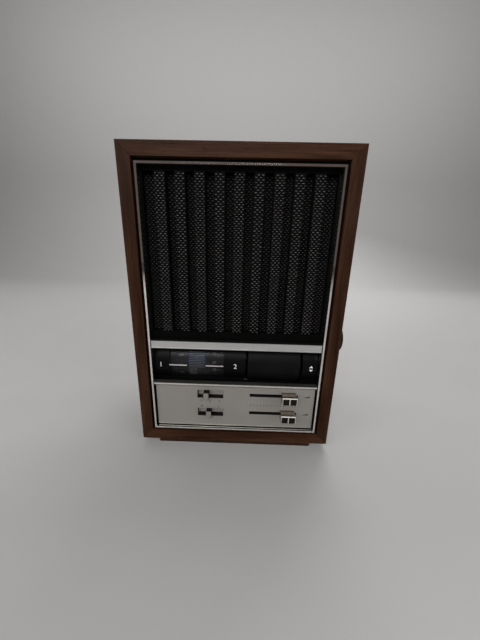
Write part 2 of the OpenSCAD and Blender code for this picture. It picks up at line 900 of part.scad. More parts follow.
module dial_panel() {
    x = inside_x - dial_plate_side;
    barrel_x = window_x - barrel_end_gap;
    hole_z = dial_window_h / 2;
    color("#141414")
        difference() {
            union() {
                slab(-x, x, frame_back, dial_plate_back, dial_bottom_z - dial_plate_lap,
                    dial_top_z + dial_plate_lap);
                intersection() {
                    bar_x(-barrel_x, barrel_x, barrel_r, shaft_y, shaft_z);
                    slab(-barrel_x, barrel_x, 0, frame_back + dial_plate_t / 2,
                        dial_bottom_z + fit_gap, dial_top_z - fit_gap);
                }
            }
            bar_x(window_left - hollow_end, window_right + hollow_end, barrel_in_r, shaft_y, shaft_z);
            bar_x(roller_right - over, gear_right + bracket_gap / 2, barrel_in_r, shaft_y, shaft_z);
            slab(window_left, window_right, 0, frame_back + over, shaft_z - hole_z, shaft_z + hole_z);
            slab(roller_left, roller_right, -over, dial_plate_back + over,
                shaft_z - roller_cut, shaft_z + roller_cut);
            for (side = [-1, 1], end = [-1, 1])
                bar_y(dial_plate_back + bracket_t - screw_l - hole_spare, dial_plate_back + over, pilot_r,
                    foot_screw_x(side), shaft_z + end * foot_screw_z);
        }
}

// A piece of tube round the drum shaft, cut to a window seen from the front
module dial_shell(inner, outer, x0, x1, half_h) {
    intersection() {
        difference() {
            bar_x(x0, x1, outer, shaft_y, shaft_z);
            bar_x(x0 - over, x1 + over, inner, shaft_y, shaft_z);
        }
        slab(x0, x1, 0, shaft_depth, shaft_z - half_h, shaft_z + half_h);
    }
}

module dial_lens() {
    color("lightsteelblue", 0.4) {
        dial_shell(lens_in_r, barrel_r - seat_gap, window_left + seat_gap, window_right - seat_gap,
            dial_window_h / 2 - seat_gap);
        dial_shell(lens_in_r, barrel_in_r - seat_gap, window_left - lens_lap, window_right + lens_lap,
            dial_window_h / 2 + lens_lap / 2);
    }
}

module dial_pointers() {
    band_mid = (window_left + window_right) / 2;
    color("gainsboro")
        for (ends = [[window_left, band_mid - scale_band_w / 2], [band_mid + scale_band_w / 2, window_right]])
            slab(ends[0] + seat_gap, ends[1] - seat_gap, barrel_depth - pointer_t, barrel_depth,
                shaft_z - pointer_h / 2, shaft_z + pointer_h / 2);
}

// A drum on the shaft: rim, two webs and hub turned as one, with rounded rim edges
module drum_wheel(x0, x1, r, edge) {
    l = x1 - x0;
    bore = drum_shaft_r + seat_gap;
    steps = 6;
    color("#1a1a1c")
        turned_x(x0, shaft_y, shaft_z)
            difference() {
                polygon(concat(
                    [[bore, 0]],
                    [for (i = [0 : steps])
                        [r - edge + edge * sin(90 * i / steps), edge - edge * cos(90 * i / steps)]],
                    [for (i = [0 : steps])
                        [r - edge + edge * cos(90 * i / steps), l - edge + edge * sin(90 * i / steps)]],
                    [[bore, l]]
                ));
                translate([hub_r, -over])
                    square([r - drum_wall - hub_r, l / 2 - web_t / 2 + over]);
                translate([hub_r, l / 2 + web_t / 2])
                    square([r - drum_wall - hub_r, l / 2]);
            }
}

module dial_drum() {
    drum_wheel(drum_left, drum_right, drum_r, drum_edge_r);
}

module tuning_roller() {
    drum_wheel(roller_left + roller_end_gap, roller_right - roller_end_gap, roller_r, roller_edge_r);
}

module drum_shaft() {
    color("silver")
        bar_x(shaft_left, shaft_right, drum_shaft_r, shaft_y, shaft_z);
}

// Involute gear outline: the half angle of a tooth at a radius, and the points of all teeth
function involute(angle) = tan(angle) * 180 / PI - angle;
function tooth_half(teeth, pitch_r, r) =
    90 / teeth - backlash / 2 / pitch_r * 90 / PI + involute(pressure_angle)
    - involute(acos(min(1, pitch_r * cos(pressure_angle) / r)));
function tooth_radii(pitch_r) =
    let (base_r = max(pitch_r * cos(pressure_angle), pitch_r - dedendum))
    concat([pitch_r - dedendum],
        [for (i = [0 : flank_steps]) base_r + (pitch_r + addendum - base_r) * i / flank_steps]);
function flank(teeth, pitch_r, radii, middle, side) = [
    for (r = radii)
        let (a = middle + side * tooth_half(teeth, pitch_r, r)) [r * cos(a), r * sin(a)]
];
function gear_outline(teeth, turn) =
    let (pitch_r = gear_module * teeth / 2, radii = tooth_radii(pitch_r))
    [for (tooth = [0 : teeth - 1])
        let (middle = turn + 360 * tooth / teeth)
        each concat(
            flank(teeth, pitch_r, radii, middle, -1),
            flank(teeth, pitch_r, reversed(radii), middle, 1))
    ];

module gear(teeth, turn, y, z, bore_r) {
    along_x(gear_left, gear_right)
        translate([y, z])
            difference() {
                polygon(gear_outline(teeth, turn));
                circle(r = bore_r);
            }
}

module drum_gear() {
    color("#242424")
        gear(gear_teeth, drive_angle, shaft_y, shaft_z, drum_shaft_r + seat_gap);
}

module knob_pinion() {
    color("#242424")
        gear(pinion_teeth, drive_angle + 180 + 180 / pinion_teeth, knob_y, knob_z, knob_shaft_r + seat_gap);
}

// The bracket's plate stands square to the shaft, and its foot lies on the dial panel's rear face
module bracket_foot(x0, x1) {
    slab(x0, x1, dial_plate_back, dial_plate_back + bracket_t,
        shaft_z - bracket_half_h, shaft_z + bracket_half_h);
}

module bracket_bore(x, shaft_r, y, z) {
    bar_x(x - over, x + bracket_t + over, shaft_r + run_gap, y, z);
}

module foot_holes(side) {
    for (end = [-1, 1])
        bar_y(dial_plate_back - over, dial_plate_back + bracket_t + over, screw_hole_r,
            foot_screw_x(side), shaft_z + end * foot_screw_z);
}

module shaft_bracket_left() {
    color("darkgray")
        difference() {
            union() {
                slab(bracket_left_x, bracket_left_x + bracket_t, dial_plate_back, shaft_depth + bracket_reach,
                    shaft_z - bracket_half_h, shaft_z + bracket_half_h);
                bracket_foot(bracket_left_x - foot_w, bracket_left_x + bracket_t / 2);
            }
            bracket_bore(bracket_left_x, drum_shaft_r, shaft_y, shaft_z);
            foot_holes(-1);
        }
}

module shaft_bracket_right() {
    foot_y = front_y + dial_plate_back;
    low_z = shaft_z - bracket_half_h;
    high_z = shaft_z + bracket_half_h;
    color("darkgray")
        difference() {
            union() {
                along_x(bracket_right_x, bracket_right_x + bracket_t)
                    polygon([
                        [foot_y, low_z], [shaft_y + bracket_reach, low_z], [knob_y + bracket_half_h, knob_z],
                        [knob_y + bracket_half_h, knob_z + bracket_half_h],
                        [knob_y - bracket_half_h, knob_z + bracket_half_h],
                        [knob_y - bracket_half_h, knob_z], [shaft_y, high_z], [foot_y, high_z]
                    ]);
                bracket_foot(bracket_right_x + bracket_t / 2, bracket_right_x + bracket_t + foot_w);
            }
            bracket_bore(bracket_right_x, drum_shaft_r, shaft_y, shaft_z);
            bracket_bore(bracket_right_x, knob_shaft_r, knob_y, knob_z);
            foot_holes(1);
        }
}

module tuning_capacitor() {
    color("whitesmoke")
        difference() {
            slab(bracket_left_x - varicap_t, bracket_left_x, shaft_depth - varicap_w / 2,
                shaft_depth + varicap_w / 2, shaft_z - varicap_w / 2, shaft_z + varicap_w / 2);
            bar_x(shaft_left - over, bracket_left_x + over, drum_shaft_r + run_gap, shaft_y, shaft_z);
        }
}

module knob_shaft() {
    color("silver")
        bar_x(gear_left - knob_shaft_end, knob_left + knob_bore_l - knob_shaft_end, knob_shaft_r,
            knob_y, knob_z);
}

module tuning_knob() {
    color("#1b1714")
        difference() {
            turned_x(knob_left, knob_y, knob_z)
                polygon([
                    [0, 0], [knob_r - knob_chamfer / 2, 0], [knob_r, knob_chamfer / 2],
                    [knob_r, knob_l - knob_chamfer], [knob_r - knob_chamfer, knob_l], [0, knob_l]
                ]);
            bar_x(knob_left - over, knob_left + knob_bore_l, knob_shaft_r + seat_gap, knob_y, knob_z);
            for (flute = [0 : knob_flutes - 1])
                bar_x(knob_left - over, knob_right + over, flute_r,
                    knob_y + (knob_r + flute_lift) * cos(360 * flute / knob_flutes),
                    knob_z + (knob_r + flute_lift) * sin(360 * flute / knob_flutes));
        }
}

module knob_bush() {
    color("goldenrod")
        turned_x(inside_x - bush_collar_t, knob_y, knob_z)
            polygon([
                [knob_shaft_r + run_gap, 0], [bush_collar_r, 0], [bush_collar_r, bush_collar_t],
                [bush_r, bush_collar_t], [bush_r, bush_collar_t + board_t],
                [knob_shaft_r + run_gap, bush_collar_t + board_t]
            ]);
}

module pocket_box(z) {
    slab(pocket_left - pocket_wall, pocket_left + pocket_w + pocket_wall, control_back, pocket_back,
        z - pocket_wall, z + pocket_h + pocket_wall);
}

module pocket_cut(z, slot) {
    slab(pocket_left, pocket_left + pocket_w, control_front - over, pocket_floor, z, z + pocket_h);
    slab(pocket_left + pocket_slot_end, pocket_left + pocket_w - pocket_slot_end, control_front - over,
        pocket_back + over, z, z + slot);
}

module slider_cut(z) {
    slab(slot_left, slot_right, control_front - over, control_back + over,
        z - slot_h / 2, z + slot_h / 2);
}

module control_panel() {
    color("#b9b4ac")
        difference() {
            union() {
                slab(-control_x, control_x, control_front, control_back, control_bottom_z, control_top_z);
                pocket_box(control_bottom_z + band_z);
                pocket_box(control_bottom_z + power_z);
            }
            pocket_cut(control_bottom_z + band_z, band_slot_h);
            pocket_cut(control_bottom_z + power_z, power_slot_h);
            slider_cut(control_bottom_z + tone_z);
            slider_cut(control_bottom_z + volume_z);
        }
}

// A slide control: its case, its lever, its knob and the knob's insets, at a height
module pot_body(z) {
    color("darkgray")
        difference() {
            slab(slot_left - pot_end, slot_right + pot_end, control_back, control_back + pot_d,
                z - pot_h / 2, z + pot_h / 2);
            slab(slot_left - pot_end + pot_wall, slot_right + pot_end - pot_wall, control_back - over,
                control_back + pot_d - pot_wall, z - pot_h / 2 + pot_wall, z + pot_h / 2 - pot_wall);
        }
}

module pot_lever(z) {
    color("#222222") {
        slab(slider_x - wiper_w / 2, slider_x + wiper_w / 2, wiper_front, wiper_back,
            z - wiper_h / 2, z + wiper_h / 2);
        slab(slider_x - stem_w / 2, slider_x + stem_w / 2, stem_end, wiper_front + stem_lap,
            z - stem_h / 2, z + stem_h / 2);
    }
}

module inlay_slabs(z, grow) {
    for (side = [-1, 1])
        translate([slider_x + side * (inlay_bar + inlay_w) / 2, 0, z])
            slab(-inlay_w / 2 - grow, inlay_w / 2 + grow, slider_front - 2 * grow, slider_front + inlay_t,
                -inlay_h / 2 - grow, inlay_h / 2 + grow);
}

module slider_knob(z) {
    low = z - slider_h / 2;
    high = z + slider_h / 2;
    back = front_y + slider_back;
    front = front_y + slider_front;
    color("silver")
        difference() {
            along_x(slider_x - slider_w / 2, slider_x + slider_w / 2)
                polygon([
                    [back, low], [front + slider_chamfer, low], [front, low + slider_chamfer],
                    [front, high - slider_chamfer], [front + slider_chamfer, high], [back, high]
                ]);
            inlay_slabs(z, seat_gap);
            slab(slider_x - stem_w / 2 - seat_gap, slider_x + stem_w / 2 + seat_gap, stem_end - seat_gap,
                slider_back + over, z - stem_h / 2 - seat_gap, z + stem_h / 2 + seat_gap);
        }
}

module slider_inlays(z) {
    color("#101010")
        inlay_slabs(z, 0);
}

module tone_pot_body() {
    pot_body(control_bottom_z + tone_z);
}

module tone_lever() {
    pot_lever(control_bottom_z + tone_z);
}

module tone_knob() {
    slider_knob(control_bottom_z + tone_z);
}

module tone_knob_inlays() {
    slider_inlays(control_bottom_z + tone_z);
}

module volume_pot_body() {
    pot_body(control_bottom_z + volume_z);
}

module volume_lever() {
    pot_lever(control_bottom_z + volume_z);
}

module volume_knob() {
    slider_knob(control_bottom_z + volume_z);
}

module volume_knob_inlays() {
    slider_inlays(control_bottom_z + volume_z);
}

// A slide switch: its case, its lever with the tongue through the slot, and the lever's cap
module switch_body(z, slot) {
    color("darkgray")
        difference() {
            slab(pocket_left - pocket_wall, pocket_left + pocket_w + pocket_wall, pocket_back,
                pocket_back + switch_d, z - pocket_wall, z + pocket_h);
            slab(pocket_left + pocket_slot_end, pocket_left + pocket_w - pocket_slot_end, pocket_back - over,
                pocket_back + switch_d - switch_wall, z, z + slot);
        }
}

module switch_lever(x, z, slot) {
    cap_z = z + (pocket_h - cap_h) / 2;
    color("#101010") {
        slab(x - cap_w / 2, x + cap_w / 2, cap_front + cap_t, cap_back, cap_z, cap_z + cap_h);
        slab(x - tongue_w / 2, x + tongue_w / 2, cap_back - stem_lap, tongue_back,
            cap_z, z + slot - tongue_gap);
    }
}

module switch_cap(x, z) {
    cap_z = z + (pocket_h - cap_h) / 2;
    color("silver")
        slab(x - cap_w / 2, x + cap_w / 2, cap_front, cap_front + cap_t, cap_z, cap_z + cap_h);
}

module band_switch_body() {
    switch_body(control_bottom_z + band_z, band_slot_h);
}

module band_switch_lever() {
    switch_lever(pocket_left + band_rest, control_bottom_z + band_z, band_slot_h);
}

module band_switch_cap() {
    switch_cap(pocket_left + band_rest, control_bottom_z + band_z);
}

module power_switch_body() {
    switch_body(control_bottom_z + power_z, power_slot_h);
}

module power_switch_lever() {
    switch_lever(pocket_left + power_rest, control_bottom_z + power_z, power_slot_h);
}

module power_switch_cap() {
    switch_cap(pocket_left + power_rest, control_bottom_z + power_z);
}

module circuit_board() {
    color("#6d5a2c")
        difference() {
            translate([pcb_left, pcb_front_y, pcb_bottom_z])
                cube([pcb_w, pcb_d, pcb_t]);
            for (side = [-1, 1], end = [-1, 1])
                translate([pillar_x(side), pillar_y(end), pcb_bottom_z - over])
                    cylinder(r = screw_hole_r, h = pcb_t + 2 * over);
        }
}

module board_pillars() {
    color("ivory")
        for (side = [-1, 1], end = [-1, 1])
            translate([pillar_x(side), pillar_y(end), inside_bottom_z])
                difference() {
                    cylinder(r = pillar_r, h = pillar_h);
                    translate([0, 0, pillar_h - screw_l])
                        cylinder(r = pilot_r, h = screw_l + over);
                }
}

module integrated_circuit() {
    legs = 8;
    leg_pitch = 2.54;
    leg_span = 7.6;
    leg_w = 0.6;
    body_w = 6.4;
    body_h = 3.4;
    body_size = [legs * leg_pitch, body_w, body_h];
    x = pcb_left + pcb_w / 2;
    y = pcb_front_y + pcb_d / 2;
    stand = 0.8;
    color("#1e1e1e") {
        translate([x - body_size[0] / 2, y - body_w / 2, pcb_top_z + stand])
            cube(body_size);
        for (leg = [0 : legs - 1])
            translate([x + (leg - (legs - 1) / 2) * leg_pitch - leg_w / 2, y - leg_span / 2, pcb_top_z])
                cube([leg_w, leg_span, stand + body_h / 2]);
    }
}

module filter_capacitors() {
    large_can = [large_can_r, large_can_h];
    small_can = [small_can_r, small_can_h];
    cans = [large_can, small_can, small_can];
    color("#27405e")
        for (i = [0 : len(cans) - 1])
            translate([pcb_right - filter_side - i * filter_pitch, pcb_back_y - filter_back, pcb_top_z])
                cylinder(r = cans[i][0], h = cans[i][1]);
}

module if_cans() {
    can_w = 10;
    can_h = 13;
    can_pitch = 14;
    can_count = 4;
    first_can = 16;
    can_front = 8;
    slug_r = 2;
    slug_drop = 2;
    color("lightgray")
        for (can = [0 : can_count - 1])
            translate([pcb_left + first_can + can * can_pitch, pcb_front_y + can_front, pcb_top_z])
                difference() {
                    cube([can_w, can_w, can_h]);
                    translate([can_w / 2, can_w / 2, can_h - slug_drop])
                        cylinder(r = slug_r, h = slug_drop + over);
                }
}

module transformer_core() {
    open_w = (core_w - core_leg) / 2 - core_yoke;
    open_x = (core_leg + open_w) / 2;
    color("#4b4b4d")
        difference() {
            union() {
                translate([core_x - core_w / 2, core_y - core_t / 2, inside_bottom_z])
                    cube([core_w, core_t, core_h]);
                translate([core_x - core_w / 2 - core_foot, core_y - core_t / 2, inside_bottom_z])
                    cube([core_w + 2 * core_foot, core_t, core_foot_t]);
            }
            for (side = [-1, 1]) {
                translate([core_x + side * open_x - open_w / 2, core_y - core_t, inside_bottom_z + core_yoke])
                    cube([open_w, 2 * core_t, core_h - 2 * core_yoke]);
                translate([core_x + side * (core_w + core_foot) / 2, core_y, inside_bottom_z - over])
                    cylinder(r = screw_hole_r, h = core_foot_t + 2 * over);
            }
        }
}

module transformer_coil() {
    open_w = (core_w - core_leg) / 2 - core_yoke;
    half_x = core_leg / 2 + open_w - coil_gap_core;
    half_y = core_t / 2 + coil_overhang;
    hole_x = core_leg / 2 + coil_gap_core;
    hole_y = core_t / 2 + coil_gap_core;
    z0 = inside_bottom_z + core_yoke + coil_gap_core;
    z1 = inside_bottom_z + core_h - core_yoke - coil_gap_core;
    color("#c9a24a")
        translate([core_x, core_y, z0])
            difference() {
                translate([-half_x, -half_y, 0])
                    cube([2 * half_x, 2 * half_y, z1 - z0]);
                translate([-hole_x, -hole_y, -over])
                    cube([2 * hole_x, 2 * hole_y, z1 - z0 + 2 * over]);
            }
}

module ferrite_rod() {
    color("#3a3632")
        bar_x(-rod_l / 2, rod_l / 2, rod_r, rod_y, rod_z);
}

module ferrite_coil() {
    color("#a86f3c")
        difference() {
            bar_x(-rod_coil_l / 2, rod_coil_l / 2, rod_r + rod_coil_t, rod_y, rod_z);
            bar_x(-rod_coil_l, rod_coil_l, rod_r + seat_gap, rod_y, rod_z);
        }
}

module ferrite_clips() {
    half = rod_r + clip_wall;
    color("ivory")
        for (side = [-1, 1])
            difference() {
                translate([side * clip_x - clip_w / 2, rod_y - half, rod_z - half])
                    cube([clip_w, 2 * half, inside_top_z - rod_z + half]);
                bar_x(side * clip_x - clip_w, side * clip_x + clip_w, rod_r + seat_gap, rod_y, rod_z);
            }
}

cabinet_top();
cabinet_bottom();
cabinet_side_left();
cabinet_side_right();
base_plinth();
corner_blocks();
wood_screws();
rear_cover();
cord_gland();
front_frame();
bezel_frame();
trim_strip();
divider_trim();
grille_panel();
speaker_baffle();
speaker_frame();
speaker_cone();
speaker_dust_cap();
speaker_magnet();
chassis_screws();
dial_panel();
dial_lens();
dial_pointers();
dial_drum();
tuning_roller();
drum_shaft();
drum_gear();
shaft_bracket_left();
shaft_bracket_right();
tuning_capacitor();
knob_shaft();
knob_pinion();
tuning_knob();
knob_bush();
control_panel();
tone_pot_body();
tone_lever();
tone_knob();
tone_knob_inlays();
volume_pot_body();
volume_lever();
volume_knob();
volume_knob_inlays();
band_switch_body();
band_switch_lever();
band_switch_cap();
power_switch_body();
power_switch_lever();
power_switch_cap();
circuit_board();
board_pillars();
integrated_circuit();
filter_capacitors();
if_cans();
transformer_core();
transformer_coil();
ferrite_rod();
ferrite_coil();
ferrite_clips();
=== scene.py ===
import math
import random

import bmesh
import bpy
from mathutils import Matrix, Vector


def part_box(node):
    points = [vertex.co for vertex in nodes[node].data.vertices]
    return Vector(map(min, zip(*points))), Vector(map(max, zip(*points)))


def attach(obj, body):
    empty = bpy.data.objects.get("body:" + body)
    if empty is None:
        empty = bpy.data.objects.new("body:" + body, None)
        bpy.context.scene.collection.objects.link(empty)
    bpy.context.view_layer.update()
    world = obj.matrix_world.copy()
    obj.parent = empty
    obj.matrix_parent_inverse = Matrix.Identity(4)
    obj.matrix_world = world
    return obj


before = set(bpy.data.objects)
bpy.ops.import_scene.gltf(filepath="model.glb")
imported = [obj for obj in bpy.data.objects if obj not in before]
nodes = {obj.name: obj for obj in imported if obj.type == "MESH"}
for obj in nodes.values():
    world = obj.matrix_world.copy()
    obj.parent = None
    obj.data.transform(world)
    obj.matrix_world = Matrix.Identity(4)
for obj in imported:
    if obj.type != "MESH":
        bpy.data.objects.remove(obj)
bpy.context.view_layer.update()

scene = bpy.context.scene
print("frame loaded with", len(nodes), "nodes")

# Camera: the photograph's own viewing place, found from the corners of the cabinet's front
cameraSet = {
    "place": (0.005853, -0.264622, 0.187118),
    "right": (0.99948, 0.02157, 0.02393),
    "up": (-0.02883, 0.26712, 0.96323),
    "back": (0.01438, -0.96342, 0.26761),
    "lens": 13.5,
    "sensor": 36.0,
}


def makeCamera(spec):
    data = bpy.data.cameras.new("photoCamera")
    data.lens = spec["lens"]
    data.sensor_width = spec["sensor"]
    data.clip_start = 0.01
    camera = bpy.data.objects.new("photoCamera", data)
    scene.collection.objects.link(camera)
    columns = [spec["right"], spec["up"], spec["back"], spec["place"]]
    camera.matrix_world = Matrix([[c[row] for c in columns] for row in range(3)] + [[0, 0, 0, 1]])
    scene.camera = camera


makeCamera(cameraSet)


# How square to an axis a face looks: chamfers stay under the first cosine, flat faces pass the second
squareSet = {"chamfer": 0.9935, "flat": 0.9985}


# Material bench: a few short calls for the nodes that every finish here needs
class Bench:
    def __init__(self, name, look):
        self.mat = bpy.data.materials.new(name)
        self.mat.use_nodes = True
        self.tree = self.mat.node_tree
        self.shader = self.tree.nodes["Principled BSDF"]
        for socket, value in look.items():
            self.shader.inputs[socket].default_value = value
        coords = self.tree.nodes.new("ShaderNodeTexCoord").outputs
        self.place, self.normal = coords["Object"], coords["Normal"]

    def feed(self, socket, value):
        if isinstance(value, bpy.types.NodeSocket):
            self.tree.links.new(value, socket)
        else:
            socket.default_value = value

    def add(self, kind, inputs, **settings):
        node = self.tree.nodes.new("ShaderNode" + kind)
        for key, value in settings.items():
            setattr(node, key, value)
        for socket, value in inputs.items():
            self.feed(node.inputs[socket], value)
        return node

    def scaled(self, size):  # feature size in metres, one for all axes or one each along X, Y and Z
        sizes = [size] * 3 if isinstance(size, float) else size
        return self.add("Mapping", {"Vector": self.place, "Scale": [1 / s for s in sizes]}).outputs[0]

    def noise(self, size, detail=3.0, rough=0.5, warp=0.0):
        inputs = {"Vector": self.scaled(size), "Scale": 1.0, "Detail": detail, "Roughness": rough,
                  "Distortion": warp}
        return self.add("TexNoise", inputs).outputs[0]

    def waves(self, size, axis, warp=0.0):
        inputs = {"Vector": self.scaled(size), "Scale": math.pi / 10, "Distortion": warp}
        return self.add("TexWave", inputs, bands_direction=axis).outputs[1]

    def math(self, operation, a, b=0.0):
        return self.add("Math", {0: a, 1: b}, operation=operation).outputs[0]

    def span(self, value, low, high, toLow=0.0, toHigh=1.0):
        return self.add("MapRange", {0: value, 1: low, 2: high, 3: toLow, 4: toHigh}).outputs[0]

    def ramp(self, value, stops):
        node = self.add("ValToRGB", {0: value})
        ends = node.color_ramp.elements
        while len(ends) < len(stops):
            ends.new(0.5)
        for end, (position, colour) in zip(ends, stops):
            end.position = position
            end.color = (*colour, 1)
        return node.outputs[0]

    def shades(self, value, colour, dark, light, low=0.3, high=0.7):  # one colour, darker to lighter
        return self.ramp(value, [(low, tint(colour, dark)), (high, tint(colour, light))])

    def between(self, value, low, high, soft):  # 1 inside a span, 0 outside it
        return self.math("MULTIPLY", self.span(value, low - soft, low + soft),
                         self.span(value, high - soft, high + soft, 1, 0))

    def axis(self, index):
        return self.add("SeparateXYZ", {0: self.place}).outputs[index]

    def frontward(self):  # 1 on faces that look straight to the front, 0 on side walls
        return self.math("MULTIPLY", self.add("SeparateXYZ", {0: self.normal}).outputs[1], -1.0)

    def facing(self):  # 1 on flat front faces, 0 on chamfers and walls
        return self.span(self.frontward(), squareSet["chamfer"], squareSet["flat"])

    def squared(self):  # 1 on faces square to an axis, 0 on chamfers
        size = self.add("VectorMath", {0: self.normal}, operation="ABSOLUTE").outputs[0]
        x, y, z = self.add("SeparateXYZ", {0: size}).outputs
        most = self.math("MAXIMUM", self.math("MAXIMUM", x, y), z)
        return self.span(most, squareSet["chamfer"], squareSet["flat"])

    def mix(self, share, a, b):
        node = self.tree.nodes.new("ShaderNodeMix")
        node.data_type = "RGBA"
        for index, value in ((0, share), (6, a), (7, b)):
            self.feed(node.inputs[index], (*value, 1) if isinstance(value, tuple) else value)
        return node.outputs[2]

    def colour(self, socket):
        self.feed(self.shader.inputs["Base Color"], socket)

    def rough(self, socket):
        self.feed(self.shader.inputs["Roughness"], socket)

    def metallic(self, socket):
        self.feed(self.shader.inputs["Metallic"], socket)

    def bump(self, height, depth, strength=1.0):
        inputs = {"Height": height, "Distance": depth, "Strength": strength}
        self.feed(self.shader.inputs["Normal"], self.add("Bump", inputs).outputs[0])


def tint(colour, factor):
    return tuple(min(1.0, c * factor) for c in colour)


# Finishes shared by several pieces
def moulded(name, colour, rough, grain=0.0004, depth=0.00002, mottle=0.25, **look):
    b = Bench(name, look)
    cloud = b.noise(0.03, 4)
    fine = b.noise(grain, 2)
    sheen = b.math("ADD", cloud, b.math("MULTIPLY", fine, 0.6))
    b.colour(b.shades(cloud, colour, 1 - mottle, 1 + mottle))
    b.rough(b.span(sheen, 0.4, 1.2, rough * 0.85, rough * 1.2))
    b.bump(fine, depth, 0.6)
    return b.mat


metalSet = {"film": 0.02, "pit": 0.004, "lineWidth": 0.00012, "lineLength": 0.03, "shadeSoft": 0.0001}


def metal(name, colour, rough, brush=None, depth=0.000006, dullAbove=None, **look):
    b = Bench(name, {"Metallic": 1.0, **look})
    film = b.noise(metalSet["film"], 5, 0.6)
    sizes = [metalSet["pit"]] * 3
    if brush is not None:  # brushed along one axis
        sizes = [metalSet["lineWidth"]] * 3
        sizes[brush] = metalSet["lineLength"]
    lines = b.noise(sizes, 2)
    shade = b.shades(lines, colour, 0.88, 1.06)
    if dullAbove:  # painted shade: dark and dull above this height
        upper = b.span(b.axis(2), dullAbove - metalSet["shadeSoft"], dullAbove)
        shade = b.mix(upper, shade, tint(colour, 0.01))
        b.metallic(b.math("SUBTRACT", 1.0, upper))
    b.colour(shade)
    sheen = b.math("ADD", b.math("MULTIPLY", film, 0.5), lines)
    b.rough(b.span(sheen, 0.4, 1.3, rough * 0.75, rough * 1.4))
    b.bump(lines, depth, 0.5)
    return b.mat


def edgeBand(b, centre, half, width):  # 1 along the outside edges of a box, 0 on its faces
    near = []
    for i in range(3):
        away = b.math("ABSOLUTE", b.math("SUBTRACT", b.axis(i), centre[i]))
        near.append(b.span(away, half[i] - width, half[i]))
    pairs = [b.math("MINIMUM", near[i], near[j]) for i, j in ((0, 1), (0, 2), (1, 2))]
    return b.math("MAXIMUM", b.math("MAXIMUM", pairs[0], pairs[1]), pairs[2])


walnutSet = {
    "dark": (0.0080, 0.0031, 0.0014),
    "middle": (0.0165, 0.0068, 0.0034),
    "light": (0.0290, 0.0130, 0.0069),
    "wearAndHighlight": (0.075, 0.041, 0.024),
    "stops": (0.36, 0.5, 0.64),
    "rough": 0.46,
    "gloss": 0.045,
    "wearWidth": 0.0012,
    "wearPatch": 0.004,
    "figure": (0.011, 0.13),  # width and length of each kind of grain
    "grain": (0.0011, 0.045),
    "pores": (0.00032, 0.0075),
    "walnutAcross": {"along": 0, "gain": 1.9},
    "walnutUpright": {"along": 2, "gain": 1.55},
}


def walnut(name, spec):
    b = Bench(name, {"Specular IOR Level": spec["gloss"]})
    low, high = Vector(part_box("cabinet_side_left")[0]), Vector(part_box("cabinet_side_right")[1])

    def stretched(key):
        width, length = spec[key]
        sizes = [width] * 3
        sizes[spec[name]["along"]] = length
        return sizes

    figure = b.noise(stretched("figure"), 4, 0.55, 0.7)
    grain = b.noise(stretched("grain"), 3, 0.6, 0.3)
    pores = b.noise(stretched("pores"), 1, 0.5)
    tone = b.math("ADD", b.math("MULTIPLY", figure, 0.6), b.math("MULTIPLY", grain, 0.4))
    shades = [tint(spec[key], spec[name]["gain"]) for key in ("dark", "middle", "light")]
    wood = b.ramp(tone, list(zip(spec["stops"], shades)))
    pit = b.span(pores, 0.62, 0.7)
    wood = b.mix(b.math("MULTIPLY", pit, 0.6), wood, tint(shades[0], 0.6))
    # wear, and a painted highlight: the cabinet's outer edges are paler in patches
    edges = edgeBand(b, (low + high) / 2, (high - low) / 2, spec["wearWidth"])
    edgeWearAndHighlight = b.math("MULTIPLY", edges, b.span(b.noise(spec["wearPatch"], 4, 0.65), 0.46, 0.6))
    b.colour(b.mix(b.math("MULTIPLY", edgeWearAndHighlight, 0.55), wood, spec["wearAndHighlight"]))
    b.rough(b.span(b.math("ADD", grain, pit), 0.3, 1.5, spec["rough"] * 0.85, spec["rough"] * 1.5))
    b.bump(b.math("SUBTRACT", grain, pit), 0.00007, 0.55)
    return b.mat


def softBoard(name, dark, light, fleck):  # pressed fibre board
    b = Bench(name, {})
    fibre = b.noise((0.0006, 0.0006, 0.0014), 4, 0.7)
    cloud = b.noise(0.02, 3)
    b.colour(b.mix(b.span(fibre, 0.58, 0.66), b.ramp(cloud, [(0.3, dark), (0.7, light)]), fleck))
    b.rough(b.span(fibre, 0.3, 0.7, 0.6, 0.85))
    b.bump(fibre, 0.00008, 0.6)
    return b.mat


def wound(name, colour, pitch, axis):  # turns of wire or tape
    b = Bench(name, {})
    turns = b.waves(pitch, axis, 0.4)
    b.colour(b.shades(turns, colour, 0.45, 1.15, 0.1, 0.7))
    b.rough(b.span(turns, 0, 1, 0.55, 0.35))
    b.bump(turns, pitch * 0.3, 0.7)
    return b.mat


def layered(name, colour, pitch, axis):  # stack of stamped sheets
    b = Bench(name, {"Metallic": 0.8})
    sheets = b.waves(pitch, axis, 0.1)
    stain = b.noise(0.006, 4)
    rust = (0.16, 0.09, 0.05)
    b.colour(b.mix(b.span(stain, 0.55, 0.75, 0, 0.5), b.shades(sheets, colour, 0.5, 1, 0.2, 0.6), rust))
    b.rough(b.span(stain, 0.3, 0.7, 0.45, 0.7))
    b.bump(sheets, pitch * 0.2, 0.6)
    return b.mat


dull = {"Specular IOR Level": 0.06}


def dullMoulded(name, **spec):
    return moulded(name, **spec, **dull)
